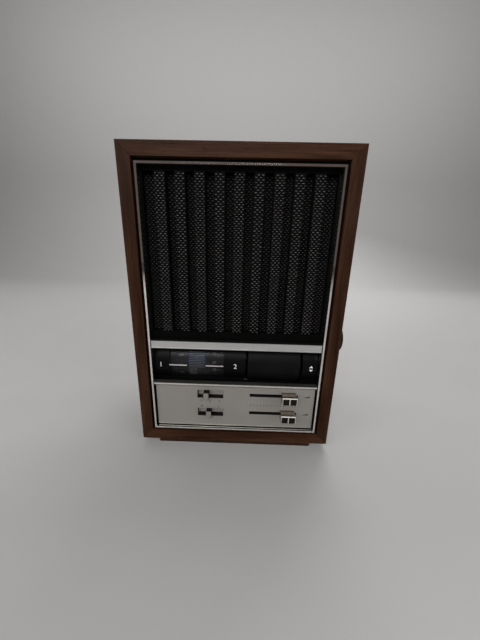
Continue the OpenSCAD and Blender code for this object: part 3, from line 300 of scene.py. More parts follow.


# Finishes by the way they are made: sizes and depths in metres, brush and axis along X, Y or Z
# painted shade: the strip's top face, under the ledge, is dark and dull above this height
stripShadeDrop = 0.0002
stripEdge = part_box("trim_strip")[1].z - stripShadeDrop
finishSet = {
    dullMoulded: {
        "darkBase": dict(colour=(0.021, 0.0105, 0.0062), rough=0.6, grain=0.0012, depth=0.00006, mottle=0.4),
        "rubber": dict(colour=(0.010, 0.010, 0.010), rough=0.7, grain=0.0006, depth=0.00003),
        "dialBlack": dict(colour=(0.0021, 0.0021, 0.0022), rough=0.4, grain=0.0007, depth=0.000012),
        "drumBlack": dict(colour=(0.010, 0.010, 0.0105), rough=0.45, grain=0.0006, depth=0.00001),
        "rollerBlack": dict(colour=(0.0034, 0.0034, 0.0035), rough=0.45, grain=0.0005),
        "gearBlack": dict(colour=(0.0035, 0.0035, 0.0035), rough=0.5, grain=0.0006),
        "knobDark": dict(colour=(0.0125, 0.0095, 0.0072), rough=0.42, grain=0.0006),
        "inlayBlack": dict(colour=(0.0075, 0.0058, 0.0044), rough=0.3, grain=0.0005, depth=0.000012),
        "leverBlack": dict(colour=(0.0045, 0.0045, 0.0045), rough=0.45, grain=0.0005),
    },
    moulded: {
        "nylon": dict(colour=(0.72, 0.68, 0.57), rough=0.5, grain=0.0006, mottle=0.06),
        "case": dict(colour=(0.66, 0.66, 0.62), rough=0.4, grain=0.0008, mottle=0.05),
        "chip": dict(colour=(0.012, 0.012, 0.012), rough=0.5, grain=0.0003),
        "sleeve": dict(colour=(0.03, 0.065, 0.15), rough=0.28, grain=0.0015, mottle=0.12),
        "ferrite": dict(colour=(0.03, 0.028, 0.026), rough=0.5, grain=0.0008, depth=0.00004, mottle=0.3),
        "magnet": dict(colour=(0.03, 0.03, 0.032), rough=0.55, grain=0.001, depth=0.00005, mottle=0.3,
                       Metallic=0.4),
        "speakerSteel": dict(colour=(0.075, 0.08, 0.085), rough=0.45, grain=0.0012, depth=0.00003,
                             mottle=0.15, Metallic=0.6),
    },
    metal: {
        "zinc": dict(colour=(0.5, 0.5, 0.49), rough=0.34),
        "sheetZinc": dict(colour=(0.46, 0.46, 0.45), rough=0.4, brush=2),
        # painted shade: the bodies seen through the slots are given a dark zinc
        "darkZinc": dict(colour=(0.045, 0.044, 0.042), rough=0.5, brush=0),
        "brushedStrip": dict(colour=(0.58, 0.58, 0.57), rough=0.38, brush=0, dullAbove=stripEdge, **dull),
        "pointer": dict(colour=(0.86, 0.85, 0.82), rough=0.22, brush=0),
        "steel": dict(colour=(0.13, 0.13, 0.132), rough=0.42, brush=0),
        "brass": dict(colour=(0.66, 0.46, 0.18), rough=0.3),
        "knobChrome": dict(colour=(0.46, 0.42, 0.375), rough=0.11, depth=0.000002),
        "tin": dict(colour=(0.15, 0.15, 0.145), rough=0.55, brush=2),
    },
    softBoard: {
        "pine": dict(dark=(0.42, 0.28, 0.15), light=(0.6, 0.43, 0.25), fleck=(0.34, 0.2, 0.1)),
        "hardboard": dict(dark=(0.03, 0.021, 0.016), light=(0.052, 0.037, 0.028), fleck=(0.085, 0.06, 0.044)),
        "baffleBoard": dict(dark=(0.13, 0.085, 0.05), light=(0.2, 0.135, 0.08), fleck=(0.09, 0.055, 0.03)),
        "conePaper": dict(dark=(0.03, 0.027, 0.024), light=(0.05, 0.045, 0.041), fleck=(0.075, 0.068, 0.06)),
        "phenolic": dict(dark=(0.17, 0.1, 0.035), light=(0.24, 0.15, 0.06), fleck=(0.12, 0.07, 0.025)),
    },
    layered: {"lamination": dict(colour=(0.2, 0.2, 0.21), pitch=0.0007, axis="Y")},
    wound: {
        "coilTape": dict(colour=(0.42, 0.3, 0.06), pitch=0.0035, axis="Z"),
        "litz": dict(colour=(0.33, 0.16, 0.055), pitch=0.0007, axis="X"),
    },
}
finishes = {name: make(name, **spec) for make, group in finishSet.items() for name, spec in group.items()}
for name in ("walnutAcross", "walnutUpright"):
    finishes[name] = walnut(name, walnutSet)
print("finishes made:", len(finishes))

# Bezel and divider: plated, with painted shade: a dull dark colour on the bezel's chamfers and on the
# divider's walls
platedSet = {
    "face": (0.82, 0.79, 0.755), "rough": 0.035, "dullRough": 0.5, "film": 0.02, "pit": 0.004,
    "brightBezel": {"dull": (0.0042, 0.0036, 0.0032), "bright": Bench.squared},
    "brightDivider": {"dull": (0.024, 0.024, 0.0225), "bright": Bench.facing},
}


def plated(name, spec):
    b = Bench(name, dull)
    film = b.noise(spec["film"], 5, 0.6)
    pits = b.noise(spec["pit"], 2)
    bright = spec[name]["bright"](b)
    # painted shade: a dull dark colour on the faces where the plating would catch light
    paintedShade = b.shades(film, spec[name]["dull"], 0.8, 1.2)
    b.colour(b.mix(bright, paintedShade, b.shades(pits, spec["face"], 0.88, 1.06)))
    b.metallic(bright)
    wearAndHighlight = b.span(film, 0.3, 0.7, 0, spec["rough"] * 0.6)
    b.rough(b.math("ADD", b.span(bright, 0, 1, spec["dullRough"], spec["rough"] * 0.75), wearAndHighlight))
    b.bump(pits, 0.000002, 0.5)
    return b.mat


for name in ("brightBezel", "brightDivider"):
    finishes[name] = plated(name, platedSet)

# Slider knobs: bright plating in front, a painted highlight on the chamfers, a painted reflection on the top
# and sides (a darker, browner copy of the plating), and painted shade that darkens it towards the panel
knobSet = {
    "front": (0.84, 0.81, 0.765), "edge": (0.50, 0.48, 0.45), "side": (0.33, 0.292, 0.256),
    "heelShade": (0.055, 0.040, 0.030), "heelDepth": 0.0026, "heelRagged": 0.0006,
    "edgeFrom": 0.55, "edgeTo": 0.68, "edgeRough": 0.3, "rough": 0.11, "film": 0.02, "pit": 0.004,
}


def knobPlate(spec):
    b = Bench("knobPlate", {})
    film = b.noise(spec["film"], 5, 0.6)
    pits = b.noise(spec["pit"], 2)
    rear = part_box("tone_knob")[1].y
    # painted shade: the knob darkens over its last few millimetres towards the panel
    depth = b.math("ADD", b.axis(1), b.span(pits, 0.3, 0.7, 0, spec["heelRagged"]))
    heelShade = b.span(depth, rear - spec["heelDepth"], rear)
    # painted reflection: the top and sides are a darker, browner copy of the front plating
    side = b.mix(heelShade, b.shades(pits, spec["side"], 0.85, 1.15), spec["heelShade"])
    front = b.facing()
    # painted highlight: the chamfers are pale and dull, standing for a bright line of light along them
    sloped = b.span(b.frontward(), spec["edgeFrom"], spec["edgeTo"])
    wearAndHighlight = b.math("MULTIPLY", sloped, b.math("SUBTRACT", 1.0, front))
    b.colour(b.mix(wearAndHighlight, b.mix(front, side, spec["front"]), spec["edge"]))
    b.metallic(b.math("SUBTRACT", 1.0, wearAndHighlight))
    sheen = b.span(film, 0.3, 0.7, spec["rough"] * 0.75, spec["rough"] * 1.4)
    b.rough(b.math("ADD", sheen, b.math("MULTIPLY", wearAndHighlight, spec["edgeRough"])))
    b.bump(pits, 0.000002, 0.5)
    return b.mat


finishes["knobPlate"] = knobPlate(knobSet)

# Control panel: satin silver paint on its face and pocket floors, dark on the cut walls
panelSet = {
    "paint": (0.235, 0.224, 0.204), "wall": (0.009, 0.0082, 0.0074), "rough": 0.44, "metallic": 0.45,
    "flake": 0.00025, "cloud": (0.04, 0.04, 0.03), "gloss": 0.3,
}


def panelPaint(spec):
    b = Bench("silverPanel", {"Specular IOR Level": spec["gloss"]})
    flake = b.noise(spec["flake"], 2)
    cloud = b.noise(spec["cloud"], 4, 0.6)
    shade = b.math("ADD", b.math("MULTIPLY", flake, 0.5), b.math("MULTIPLY", cloud, 0.5))
    front = b.facing()
    b.colour(b.mix(front, spec["wall"], b.shades(shade, spec["paint"], 0.92, 1.07, 0.35, 0.65)))
    b.metallic(b.span(front, 0, 1, 0, spec["metallic"]))
    b.rough(b.span(cloud, 0.3, 0.7, spec["rough"] * 0.88, spec["rough"] * 1.15))
    b.bump(flake, 0.000008, 0.5)
    return b.mat


finishes["silverPanel"] = panelPaint(panelSet)


# Front frame: fine satin moulding, with painted shade that makes the ledge over the strip a little darker
frameSet = {
    "black": (0.0020, 0.0021, 0.0020), "grain": 0.0005, "dust": 0.012, "gloss": 0.03,
    "ledgeShade": (0.0012, 0.0013, 0.0011), "ledgeHeight": 0.0078, "ledgeSoft": 0.0003,
}


def framePaint(spec):
    b = Bench("frameBlack", {"Specular IOR Level": spec["gloss"]})
    fine = b.noise(spec["grain"], 2)
    dust = b.noise(spec["dust"], 4, 0.6)
    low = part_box("trim_strip")[1].z
    # painted shade: the ledge just under the grille is darker, mottled by the dust noise
    ledgeShade = b.between(b.axis(2), low, low + spec["ledgeHeight"], spec["ledgeSoft"])
    share = b.math("MULTIPLY", ledgeShade, b.span(dust, 0.2, 0.8, 0.7, 1))
    b.colour(b.mix(share, b.shades(dust, spec["black"], 0.8, 1.25), spec["ledgeShade"]))
    b.rough(b.span(dust, 0.3, 0.7, 0.4, 0.52))
    b.bump(fine, 0.00003, 0.6)
    return b.mat


finishes["frameBlack"] = framePaint(frameSet)


# Dial window: clear moulded plastic
def clearPlastic():
    b = Bench("clearWindow", {"Base Color": (0.02, 0.021, 0.023, 1), "Specular IOR Level": 0.3})
    haze = b.noise(0.012, 4)
    b.feed(b.shader.inputs["Alpha"], b.span(haze, 0.3, 0.7, 0.06, 0.1))
    b.rough(b.span(haze, 0.35, 0.7, 0.12, 0.2))
    return b.mat


finishes["clearWindow"] = clearPlastic()

# Grille sheet: black cloth stretched over the ribs
clothSet = {
    "yarn": (0.0018, 0.0017, 0.0017), "thread": 0.00045,
    "dust": (0.0036, 0.0035, 0.0033), "dustPatch": 0.006,
}


def grilleCloth(spec):
    b = Bench("grilleCloth", dull)
    size = spec["thread"]
    weave = b.math("MAXIMUM", b.waves(size, "X", 0.3), b.waves(size, "Z", 0.3))
    dust = b.span(b.noise(spec["dustPatch"], 4, 0.6), 0.5, 0.8, 0, 0.35)
    b.colour(b.mix(dust, b.shades(weave, spec["yarn"], 0.5, 1.3, 0.3, 0.9), spec["dust"]))
    b.rough(b.span(weave, 0, 1, 0.9, 0.7))
    b.bump(weave, 0.00012, 0.7)
    return b.mat


finishes["grilleCloth"] = grilleCloth(clothSet)

# Which finish and edge rounding, in metres, each node of the frame takes
dressing = {
    "walnutAcross": (0.00025, ["cabinet_top", "cabinet_bottom"]),
    "walnutUpright": (0.00025, ["cabinet_side_left", "cabinet_side_right"]),
    "darkBase": (0.0006, ["base_plinth"]),
    "pine": (0.0005, ["corner_blocks"]),
    "hardboard": (0.00012, ["rear_cover"]),
    "baffleBoard": (0.0003, ["speaker_baffle"]),
    "zinc": (0.0002, ["wood_screws", "chassis_screws"]),
    "rubber": (0.0005, ["cord_gland"]),
    "frameBlack": (0, ["front_frame"]),
    "grilleCloth": (0.0003, ["grille_panel"]),
    "brightBezel": (0.0002, ["bezel_frame"]),
    "brightDivider": (0.0002, ["divider_trim"]),
    "brushedStrip": (0.00018, ["trim_strip"]),
    "dialBlack": (0.00008, ["dial_panel"]),
    "clearWindow": (0, ["dial_lens"]),
    "pointer": (0.00012, ["dial_pointers"]),
    "drumBlack": (0, ["dial_drum"]),
    "rollerBlack": (0, ["tuning_roller"]),
    "steel": (0.0003, ["drum_shaft", "knob_shaft"]),
    "nylon": (0, ["board_pillars", "ferrite_clips"]),
    "gearBlack": (0, ["drum_gear", "knob_pinion"]),
    "sheetZinc": (0.0002, ["shaft_bracket_left", "shaft_bracket_right"]),
    # painted shade inside the slots: dark zinc on the bodies behind them
    "darkZinc": (0.0002, ["tone_pot_body", "volume_pot_body", "band_switch_body", "power_switch_body"]),
    "case": (0.0004, ["tuning_capacitor"]),
    "knobDark": (0.0002, ["tuning_knob"]),
    "brass": (0.0002, ["knob_bush"]),
    "silverPanel": (0.00015, ["control_panel"]),
    "knobPlate": (0.00022, ["tone_knob", "volume_knob"]),
    "knobChrome": (0.00045, ["band_switch_cap", "power_switch_cap"]),
    "inlayBlack": (0.0002, ["tone_knob_inlays", "volume_knob_inlays"]),
    "leverBlack": (0.0003, ["tone_lever", "volume_lever", "band_switch_lever", "power_switch_lever"]),
    "speakerSteel": (0.0002, ["speaker_frame"]),
    "conePaper": (0, ["speaker_cone", "speaker_dust_cap"]),
    "magnet": (0.0003, ["speaker_magnet"]),
    "phenolic": (0.0001, ["circuit_board"]),
    "chip": (0.0002, ["integrated_circuit"]),
    "sleeve": (0.0006, ["filter_capacitors"]),
    "tin": (0.0004, ["if_cans"]),
    "lamination": (0.0002, ["transformer_core"]),
    "coilTape": (0.0008, ["transformer_coil"]),
    "ferrite": (0.0003, ["ferrite_rod"]),
    "litz": (0, ["ferrite_coil"]),
}


# Edge rounding: the pierced nodes have openings in a flat face, so their triangles stay as they are
edgeSet = {
    "merge": 0.000002, "flatAngle": 0.4, "segments": 3, "sharpAngle": 32,
    "pierced": ("bezel_frame", "control_panel", "dial_panel", "grille_panel", "power_switch_body",
                "band_switch_body", "rear_cover"),
}


def softenEdges(piece, width, spec):
    weld = piece.modifiers.new("weld", "WELD")
    weld.merge_threshold = spec["merge"]
    if piece.name not in spec["pierced"]:
        flat = piece.modifiers.new("flat", "DECIMATE")
        flat.decimate_type = "DISSOLVE"
        flat.angle_limit = math.radians(spec["flatAngle"])
    edge = piece.modifiers.new("edge", "BEVEL")
    edge.width = width
    edge.segments = spec["segments"]
    edge.limit_method = "ANGLE"
    edge.angle_limit = math.radians(spec["sharpAngle"])
    edge.miter_outer = "MITER_ARC"
    shade = piece.modifiers.new("shade", "WEIGHTED_NORMAL")
    shade.keep_sharp = True


dressed = set()
for finish, (width, names) in dressing.items():
    for name in names:
        node = nodes[name]
        node.data.materials.clear()
        node.data.materials.append(finishes[finish])
        if width:
            softenEdges(node, width, edgeSet)
        dressed.add(name)
nodes["dial_lens"].visible_shadow = False  # the drum behind the window is lit through it
print("nodes dressed:", len(dressed), "left plain:", sorted(set(nodes) - dressed))


# New pieces
def makePiece(name, points, faces, materials, body, faceMaterials=None, smooth=True):
    mesh = bpy.data.meshes.new(name)
    mesh.from_pydata([tuple(p) for p in points], [], faces)
    for material in materials:
        mesh.materials.append(material)
    if faceMaterials:
        mesh.polygons.foreach_set("material_index", faceMaterials)
    mesh.polygons.foreach_set("use_smooth", [smooth] * len(mesh.polygons))
    mesh.update()
    piece = bpy.data.objects.new(name, mesh)
    scene.collection.objects.link(piece)
    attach(piece, body)
    return piece


# Grille weave: pale dashes of yarn between upright black cords, on the rib faces and the channel floors, with
# painted shade darkening the dashes on the floors
weaveSet = {
    "pitchX": 0.00358, "pitchZ": 0.00173, "margin": 0.0009, "edge": 0.0031, "jitter": 0.00008,
    "dashLength": 0.0025, "dashHeight": 0.00047, "dashRise": 0.00026, "dashSides": 8, "shortest": 0.35,
    "dashRings": ((1.0, -0.3), (0.92, 0.45), (0.55, 0.9)),  # share of the outline and of the rise
    "lengthSpread": (0.85, 1.1), "heightSpread": (0.9, 1.1), "riseSpread": (0.8, 1.15),
    "cordRadius": 0.00034, "cordStep": 0.00173, "cordSway": 0.00012, "cordSides": 6, "cordFlat": 0.7,
    # painted shade: the dashes on the channel floors are darker than those on the ribs
    "yarn": (0.108, 0.103, 0.099), "shadedFloorYarn": (0.060, 0.058, 0.056), "cord": (0.0018, 0.0018, 0.0018),
    "yarnMottle": 0.5, "cordMottle": 0.3, "seed": 7,
}
ribSet = {"count": 9, "pitch": 0.0153, "half": 0.004, "draft": 0.0005, "keepOff": 0.00015}  # as in the frame


def yarnFinish(name, colour, mottle):
    b = Bench(name, dull)
    tone = b.noise(0.0021, 2, 0.6)
    twist = b.waves((0.00022, 0.0004, 0.00035), "DIAGONAL", 0.6)
    b.colour(b.shades(tone, colour, 1 - mottle, 1 + mottle))
    b.rough(b.span(tone, 0.3, 0.7, 0.6, 0.85))
    b.bump(twist, 0.00006, 0.7)
    return b.mat


def grilleStrips(front, floor, halfX):  # flat strips of the sheet from left to right: two ends and a depth
    last = ribSet["count"] // 2
    face = ribSet["half"] - ribSet["keepOff"]
    foot = ribSet["half"] + ribSet["draft"] + ribSet["keepOff"]
    middles = [rib * ribSet["pitch"] for rib in range(-last, last + 1)]
    strips = [(m - face, m + face, front) for m in middles]
    lefts, rights = [-halfX] + [m + foot for m in middles], [m - foot for m in middles] + [halfX]
    return strips + [(a, b, floor) for a, b in zip(lefts, rights)]


def hoop(first, sides):  # faces between a ring of points and the next ring
    turns = [(first + k, first + (k + 1) % sides) for k in range(sides)]
    return [(a, b, b + sides, a + sides) for a, b in turns]


def makeWeave(spec):
    low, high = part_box("grille_panel")
    rand = random.Random(spec["seed"])
    front = low.y
    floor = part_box("front_frame")[1].y
    halfX = high.x - spec["edge"]
    zLow, zHigh = low.z + spec["edge"], high.z - spec["edge"]
    points, faces, looks = [], [], []

    def dash(x, y, z, reach, look):
        base, made, sides = len(points), len(faces), spec["dashSides"]
        height = spec["dashHeight"] * rand.uniform(*spec["heightSpread"]) / 2
        rise = spec["dashRise"] * rand.uniform(*spec["riseSpread"])
        for share, lift in spec["dashRings"]:
            for k in range(sides):
                a = math.tau * k / sides
                along, up = reach * share * math.cos(a), height * share * math.sin(a)
                points.append((x + along, y - rise * lift, z + up))
        tip = len(points)
        points.append((x, y - rise, z))
        for first in range(base, tip - sides, sides):
            faces.extend(hoop(first, sides))
        faces.extend((tip - sides + k, tip - sides + (k + 1) % sides, tip) for k in range(sides))
        faces.append(tuple(base + k for k in reversed(range(sides))))
        looks.extend([look] * (len(faces) - made))

    def cord(x, y, phase, look):
        base, made, sides = len(points), len(faces), spec["cordSides"]
        steps = int((zHigh - zLow) / spec["cordStep"] * 2)
        for step in range(steps + 1):
            z = zLow + (zHigh - zLow) * step / steps
            sway = spec["cordSway"] * math.cos(math.pi * (step / 2 + phase))
            for k in range(sides):
                a = math.tau * k / sides
                depth = spec["cordRadius"] * math.sin(a) * spec["cordFlat"]
                points.append((x + spec["cordRadius"] * math.cos(a), y - sway - depth, z))
        for step in range(steps):
            faces.extend(hoop(base + step * sides, sides))
        faces.append(tuple(base + k for k in reversed(range(sides))))
        faces.append(tuple(base + steps * sides + k for k in range(sides)))
        looks.extend([look] * (len(faces) - made))

    yarns = [yarnFinish("paleYarn", spec["yarn"], spec["yarnMottle"]),
             yarnFinish("shadedFloorYarn", spec["shadedFloorYarn"], spec["yarnMottle"]),
             yarnFinish("blackCord", spec["cord"], spec["cordMottle"])]
    ribLook, shadedFloorLook, cordLook = range(len(yarns))
    rows = int((zHigh - zLow - 2 * spec["margin"]) / spec["pitchZ"])
    columns = int(halfX / spec["pitchX"]) + 1
    for left, right, y in grilleStrips(front, floor, halfX):
        dashLook = shadedFloorLook if y == floor else ribLook
        for row in range(rows + 1):
            z = zLow + spec["margin"] + row * spec["pitchZ"]
            for column in range(-columns, columns + 1):
                x = (column + (row % 2) / 2) * spec["pitchX"]
                reach = spec["dashLength"] * rand.uniform(*spec["lengthSpread"]) / 2
                start, end = max(x - reach, left), min(x + reach, right)  # cut where the strip ends
                if end - start > spec["dashLength"] * spec["shortest"]:
                    shift = rand.uniform(-spec["jitter"], spec["jitter"])
                    dash((start + end) / 2, y, z + shift, (end - start) / 2, dashLook)
        for column in range(-2 * columns, 2 * columns + 1):
            x = (column + 0.5) * spec["pitchX"] / 2
            if left + spec["cordRadius"] < x < right - spec["cordRadius"]:
                cord(x, y, column % 2, cordLook)
    return makePiece("grille_weave", points, faces, yarns, "housing", looks)


weave = makeWeave(weaveSet)
print("grille woven with", len(weave.data.polygons), "faces")

# Marks: numerals and plain shapes, printed as thin raised ink
inkSet = {
    "lift": 0.00003, "thickness": 0.00006, "slice": 0.0003,
    "white": (0.60, 0.59, 0.57), "grey": (0.022, 0.021, 0.020),
}


def inkFinish(name, colour):
    return moulded(name, colour, rough=0.5, grain=0.0003, depth=0.000006, mottle=0.1)


def numeral(text, height, weight=0.0):  # flat points and faces of a number, centred, with its height set
    curve = bpy.data.curves.new("numeral", "FONT")
    curve.body = text
    curve.offset = weight
    curve.align_x, curve.align_y = "CENTER", "CENTER"
    curve.resolution_u = 3
    holder = bpy.data.objects.new("numeral", curve)
    scene.collection.objects.link(holder)
    bpy.context.view_layer.update()
    mesh = bpy.data.meshes.new_from_object(holder.evaluated_get(bpy.context.evaluated_depsgraph_get()))
    flat = [(v.co.x, v.co.y) for v in mesh.vertices]
    faces = [tuple(p.vertices) for p in mesh.polygons]
    bpy.data.objects.remove(holder)
    bpy.data.curves.remove(curve)
    bpy.data.meshes.remove(mesh)
    tall = max(p[1] for p in flat) - min(p[1] for p in flat)
    middle = [(max(p[i] for p in flat) + min(p[i] for p in flat)) / 2 for i in (0, 1)]
    scale = height / tall
    return [((p[0] - middle[0]) * scale, (p[1] - middle[1]) * scale) for p in flat], faces


def bar(width, height):
    points = [(x * width / 2, up * height / 2) for x in (-1, 1) for up in (-1, 1)]
    return points, [(0, 2, 3, 1)]


def ring(outer, inner, count=24):
    points = [(r * math.cos(math.tau * k / count), r * math.sin(math.tau * k / count))
              for k in range(count) for r in (inner, outer)]
    total = len(points)
    return points, [(k, k + 1, (k + 3) % total, (k + 2) % total) for k in range(0, total, 2)]


def wedge(points):
    return list(points), [tuple(range(len(points)))]


def sliced(mark):  # cuts a mark into low slices, so that it can follow a curved face
    work = bmesh.new()
    corners = [work.verts.new((*p, 0)) for p in mark[0]]
    for face in mark[1]:
        work.faces.new([corners[i] for i in face])
    low, high = min(p[1] for p in mark[0]), max(p[1] for p in mark[0])
    count = int((high - low) / inkSet["slice"]) + 1
    for k in range(1, count):
        every = work.verts[:] + work.edges[:] + work.faces[:]
        level = (0, low + (high - low) * k / count, 0)
        bmesh.ops.bisect_plane(work, geom=every, plane_co=level, plane_no=(0, 1, 0), dist=1e-8)
    work.verts.index_update()
    result = [(v.co.x, v.co.y) for v in work.verts], [tuple(v.index for v in f.verts) for f in work.faces]
    work.free()
    return result


class Print:  # gathers flat marks and lays them on a surface
    def __init__(self, lay):
        self.lay, self.points, self.faces = lay, [], []

    def put(self, mark, x, up):
        base = len(self.points)
        self.points += [self.lay(x + p[0], up + p[1]) for p in mark[0]]
        self.faces += [tuple(base + i for i in face) for face in mark[1]]

    def make(self, name, colour, body, slot=None):
        inks = [inkFinish(name + "Ink", colour)]
        piece = makePiece(name, self.points, self.faces, inks, body, smooth=False)
        skin = piece.modifiers.new("thickness", "SOLIDIFY")
        skin.thickness = inkSet["thickness"]
        skin.offset = -1
        return piece


shaftLow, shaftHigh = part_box("drum_shaft")
shaftY, shaftZ = (shaftLow.y + shaftHigh.y) / 2, (shaftLow.z + shaftHigh.z) / 2


def onRound(radius):  # lays a mark on a cylinder about the drum shaft, measured up from its foremost line
    r = radius + inkSet["lift"]
    return lambda x, up: (x, shaftY - r * math.cos(up / radius), shaftZ + r * math.sin(up / radius))


# Dial drum: a blue band in the middle with scale lines, and numbers on both sides; the band's lower half is
# grey, a painted reflection
drumSet = {
    "bandWidth": 0.0173, "bandLift": 0.00004, "bandDepth": 0.0002, "bandSegments": 120,
    # painted reflection: the lower half of the band is grey instead of blue
    "upperInk": (0.018, 0.022, 0.036), "lowerReflectionInk": (0.019, 0.0187, 0.0185), "scaleInk": (0.078, 0.082, 0.094),
    "lineStep": 5, "lineHeight": 0.00034, "lineLength": 0.0150, "rangeEnd": 135,
    "shortBelow": -12, "shortShare": 0.48, "shortShift": -0.26,
    "numberHeight": 0.0024, "leftX": -0.0152, "rightX": 0.0165,
    "leftNumbers": ("88", "92", "96", "100", "104", "108"), "leftStart": -94, "leftStep": 30,
    "rightNumbers": ("55", "60", "70", "80", "100", "120", "160"), "rightStart": -17, "rightStep": 24,
}


def makeDrumScale(spec):
    low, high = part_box("dial_drum")
    radius = (high.z - low.z) / 2
    windowLow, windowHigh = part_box("dial_lens")
    middle = (windowLow.x + windowHigh.x) / 2
    points, faces = [], []
    count = spec["bandSegments"]
    for k in range(count):
        a = math.tau * k / count
        inner, outer = radius - spec["bandDepth"], radius + spec["bandLift"]
        for r, side in ((inner, -1), (outer, -1), (outer, 1), (inner, 1)):
            x = middle + side * spec["bandWidth"] / 2
            points.append((x, shaftY - r * math.cos(a), shaftZ + r * math.sin(a)))
    for k in range(count):
        here, there = 4 * k, 4 * ((k + 1) % count)
        faces += [(here + j, here + (j + 1) % 4, there + (j + 1) % 4, there + j) for j in range(4)]
    inks = [moulded(key, spec[key], rough=0.45, grain=0.0006, depth=0.00001, mottle=0.12, **dull)
            for key in ("upperInk", "lowerReflectionInk")]
    # painted reflection: the lower half of the band takes the grey ink
    looks = [0 if k < count // 2 else 1 for k in range(count) for j in range(4)]
    makePiece("drum_band", points, faces, inks, "tuning_drum", looks)
    lines = Print(onRound(radius + spec["bandLift"]))
    arc = math.radians(1) * radius
    for degree in range(-spec["rangeEnd"], spec["rangeEnd"] + 1, spec["lineStep"]):
        share, shift = (spec["shortShare"], spec["shortShift"]) if degree < spec["shortBelow"] else (1, 0)
        length = spec["lineLength"]
        lines.put(bar(length * share, spec["lineHeight"]), middle + length * shift, degree * arc)
    for side in ("left", "right"):
        for i, text in enumerate(spec[side + "Numbers"]):
            degree = spec[side + "Start"] + i * spec[side + "Step"]
            lines.put(sliced(numeral(text, spec["numberHeight"])), middle + spec[side + "X"], degree * arc)
    lines.make("drum_scale", spec["scaleInk"], "tuning_drum", "drum_black")


makeDrumScale(drumSet)

# Dial band: plain numbers beside the window, and a pair of arrows beside the roller
dialSet = {
    "numberHeight": 0.0046, "numbers": {"1": -0.0703, "2": -0.0006},
    "arrowX": 0.0700, "arrowWidth": 0.0036, "arrowHeight": 0.0022, "arrowGap": 0.0016,
}


def makeDialMarks(spec):
    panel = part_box("dial_panel")[0]
    marks = Print(onRound(shaftY - panel.y))
    for text, x in spec["numbers"].items():
        marks.put(sliced(numeral(text, spec["numberHeight"])), x, 0)
    half, tall, gap = spec["arrowWidth"] / 2, spec["arrowHeight"], spec["arrowGap"] / 2
    marks.put(sliced(wedge([(-half, gap), (half, gap), (0, gap + tall)])), spec["arrowX"], 0)
    marks.put(sliced(wedge([(half, -gap), (-half, -gap), (0, -gap - tall)])), spec["arrowX"], 0)
    marks.make("dial_marks", inkSet["white"], "housing", "black_moulding")


makeDialMarks(dialSet)

# Control panel: ticks, wedges, plain numbers and on and off signs
panelMarkSet = {
    "tickRow": 0.0461, "tickLeft": 0.0150, "tickRight": 0.0470, "ticks": 11,
    "tickHeight": 0.0012, "tickWidth": 0.0005, "longTick": 1.5, "longEvery": 5,
    "wedgeX": 0.0680, "wedgeLength": 0.0060, "wedgeHeight": 0.0020,
    "bandRow": 0.0494, "bandNumbers": {"1": -0.0326, "2": -0.0242, "3": -0.0153}, "bandHeight": 0.0018,
    "weight": 0.035, "powerRow": 0.0436, "offX": -0.0321, "onX": -0.0158, "powerSize": 0.00105,
    "offHole": 0.55, "onWidth": 0.5,
}


def makePanelMarks(spec):
    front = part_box("control_panel")[0].y - inkSet["lift"]
    marks = Print(lambda x, up: (x, front, up))
    for k in range(spec["ticks"]):
        x = spec["tickLeft"] + (spec["tickRight"] - spec["tickLeft"]) * k / (spec["ticks"] - 1)
        tall = spec["tickHeight"] * (spec["longTick"] if k % spec["longEvery"] == 0 else 1)
        marks.put(bar(spec["tickWidth"], tall), x, spec["tickRow"])
    for knob in ("tone_knob", "volume_knob"):
        low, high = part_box(knob)
        x, up = spec["wedgeLength"] / 2, spec["wedgeHeight"] / 2
        marks.put(wedge([(-x, -up), (x, -up), (x, up)]), spec["wedgeX"], (low.z + high.z) / 2)
    for text, x in spec["bandNumbers"].items():
        marks.put(numeral(text, spec["bandHeight"], spec["weight"]), x, spec["bandRow"])
    size = spec["powerSize"]
    marks.put(ring(size, size * spec["offHole"]), spec["offX"], spec["powerRow"])
    marks.put(bar(size * spec["onWidth"], size * 2), spec["onX"], spec["powerRow"])
    marks.make("panel_marks", inkSet["grey"], "housing", "silver_panel")


makePanelMarks(panelMarkSet)
print("scale and marks printed")

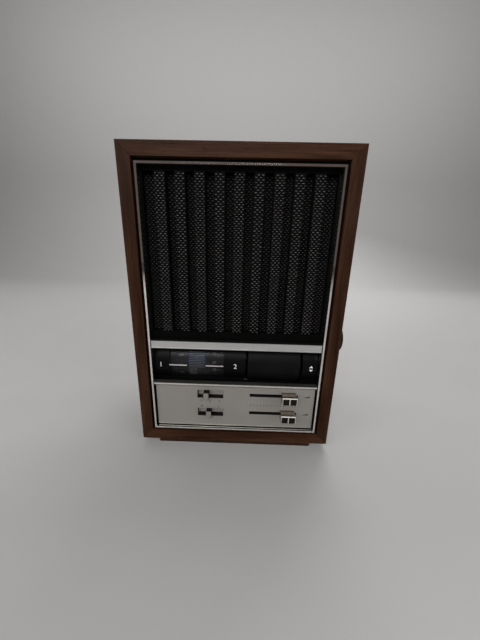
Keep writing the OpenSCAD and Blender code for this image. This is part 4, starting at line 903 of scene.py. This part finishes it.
# Stage: pale sweep, soft lamps and an even, slightly warm grey surround
stageSet = {
    "paint": (0.32, 0.318, 0.315), "cloud": 0.05, "halfWidth": 4.0,
    "front": -4.0, "wall": 2.0, "bend": 0.8, "bendSteps": 16, "top": 3.0,
}
lampSet = {
    "keyLamp": {"place": (-0.30, -1.60, 1.20), "aim": (0, -0.05, 0.13), "size": (1.2, 0.8), "power": 25},
    "leftLamp": {"place": (-1.25, -0.90, 0.70), "aim": (0, -0.05, 0.13), "size": (0.8, 0.8), "power": 10},
    "rightLamp": {"place": (1.25, -0.90, 0.60), "aim": (0, -0.05, 0.13), "size": (0.8, 0.8), "power": 9},
    "rearLamp": {"place": (0.50, 1.40, 1.20), "aim": (0, 0.06, 0.13), "size": (1.2, 1.0), "power": 18},
    "wallLamp": {"place": (0.0, 0.60, 2.00), "aim": (0, 2.0, 0.5), "size": (4.2, 0.8), "power": 42},
}
surround = {"colour": (0.104, 0.085, 0.080), "strength": 1.0}


def makeStage(spec):
    radius, foot = spec["bend"], spec["wall"] - spec["bend"]
    profile = [(spec["front"], 0.0), (foot, 0.0)]
    for k in range(spec["bendSteps"]):
        a = math.pi / 2 * (k + 1) / spec["bendSteps"]
        profile.append((foot + radius * math.sin(a), radius * (1 - math.cos(a))))
    profile.append((spec["wall"], spec["top"]))
    points = [(side * spec["halfWidth"], y, z) for y, z in profile for side in (-1, 1)]
    faces = [(2 * k, 2 * k + 1, 2 * k + 3, 2 * k + 2) for k in range(len(profile) - 1)]
    mesh = bpy.data.meshes.new("sweep")
    mesh.from_pydata(points, [], faces)
    mesh.polygons.foreach_set("use_smooth", [True] * len(faces))
    b = Bench("palePaper", {})
    cloud = b.noise(spec["cloud"], 3)
    b.colour(b.shades(cloud, spec["paint"], 0.98, 1.02, 0.2, 0.8))
    b.rough(b.span(cloud, 0.2, 0.8, 0.55, 0.7))
    mesh.materials.append(b.mat)
    sweep = bpy.data.objects.new("sweep", mesh)
    scene.collection.objects.link(sweep)


def makeLamp(name, spec):
    data = bpy.data.lights.new(name, "AREA")
    data.shape = "RECTANGLE"
    data.size, data.size_y = spec["size"]
    data.energy = spec["power"]
    lamp = bpy.data.objects.new(name, data)
    scene.collection.objects.link(lamp)
    lamp.location = spec["place"]
    aim = Vector(spec["aim"]) - Vector(spec["place"])
    lamp.rotation_euler = aim.to_track_quat("-Z", "Y").to_euler()


makeStage(stageSet)
for name, lamp in lampSet.items():
    makeLamp(name, lamp)
world = bpy.data.worlds.new("surround")
world.use_nodes = True
air = world.node_tree.nodes["Background"].inputs
air["Color"].default_value = (*surround["colour"], 1)
air["Strength"].default_value = surround["strength"]
scene.world = world
scene.view_settings.view_transform = "Standard"
print("stage and lamps set")
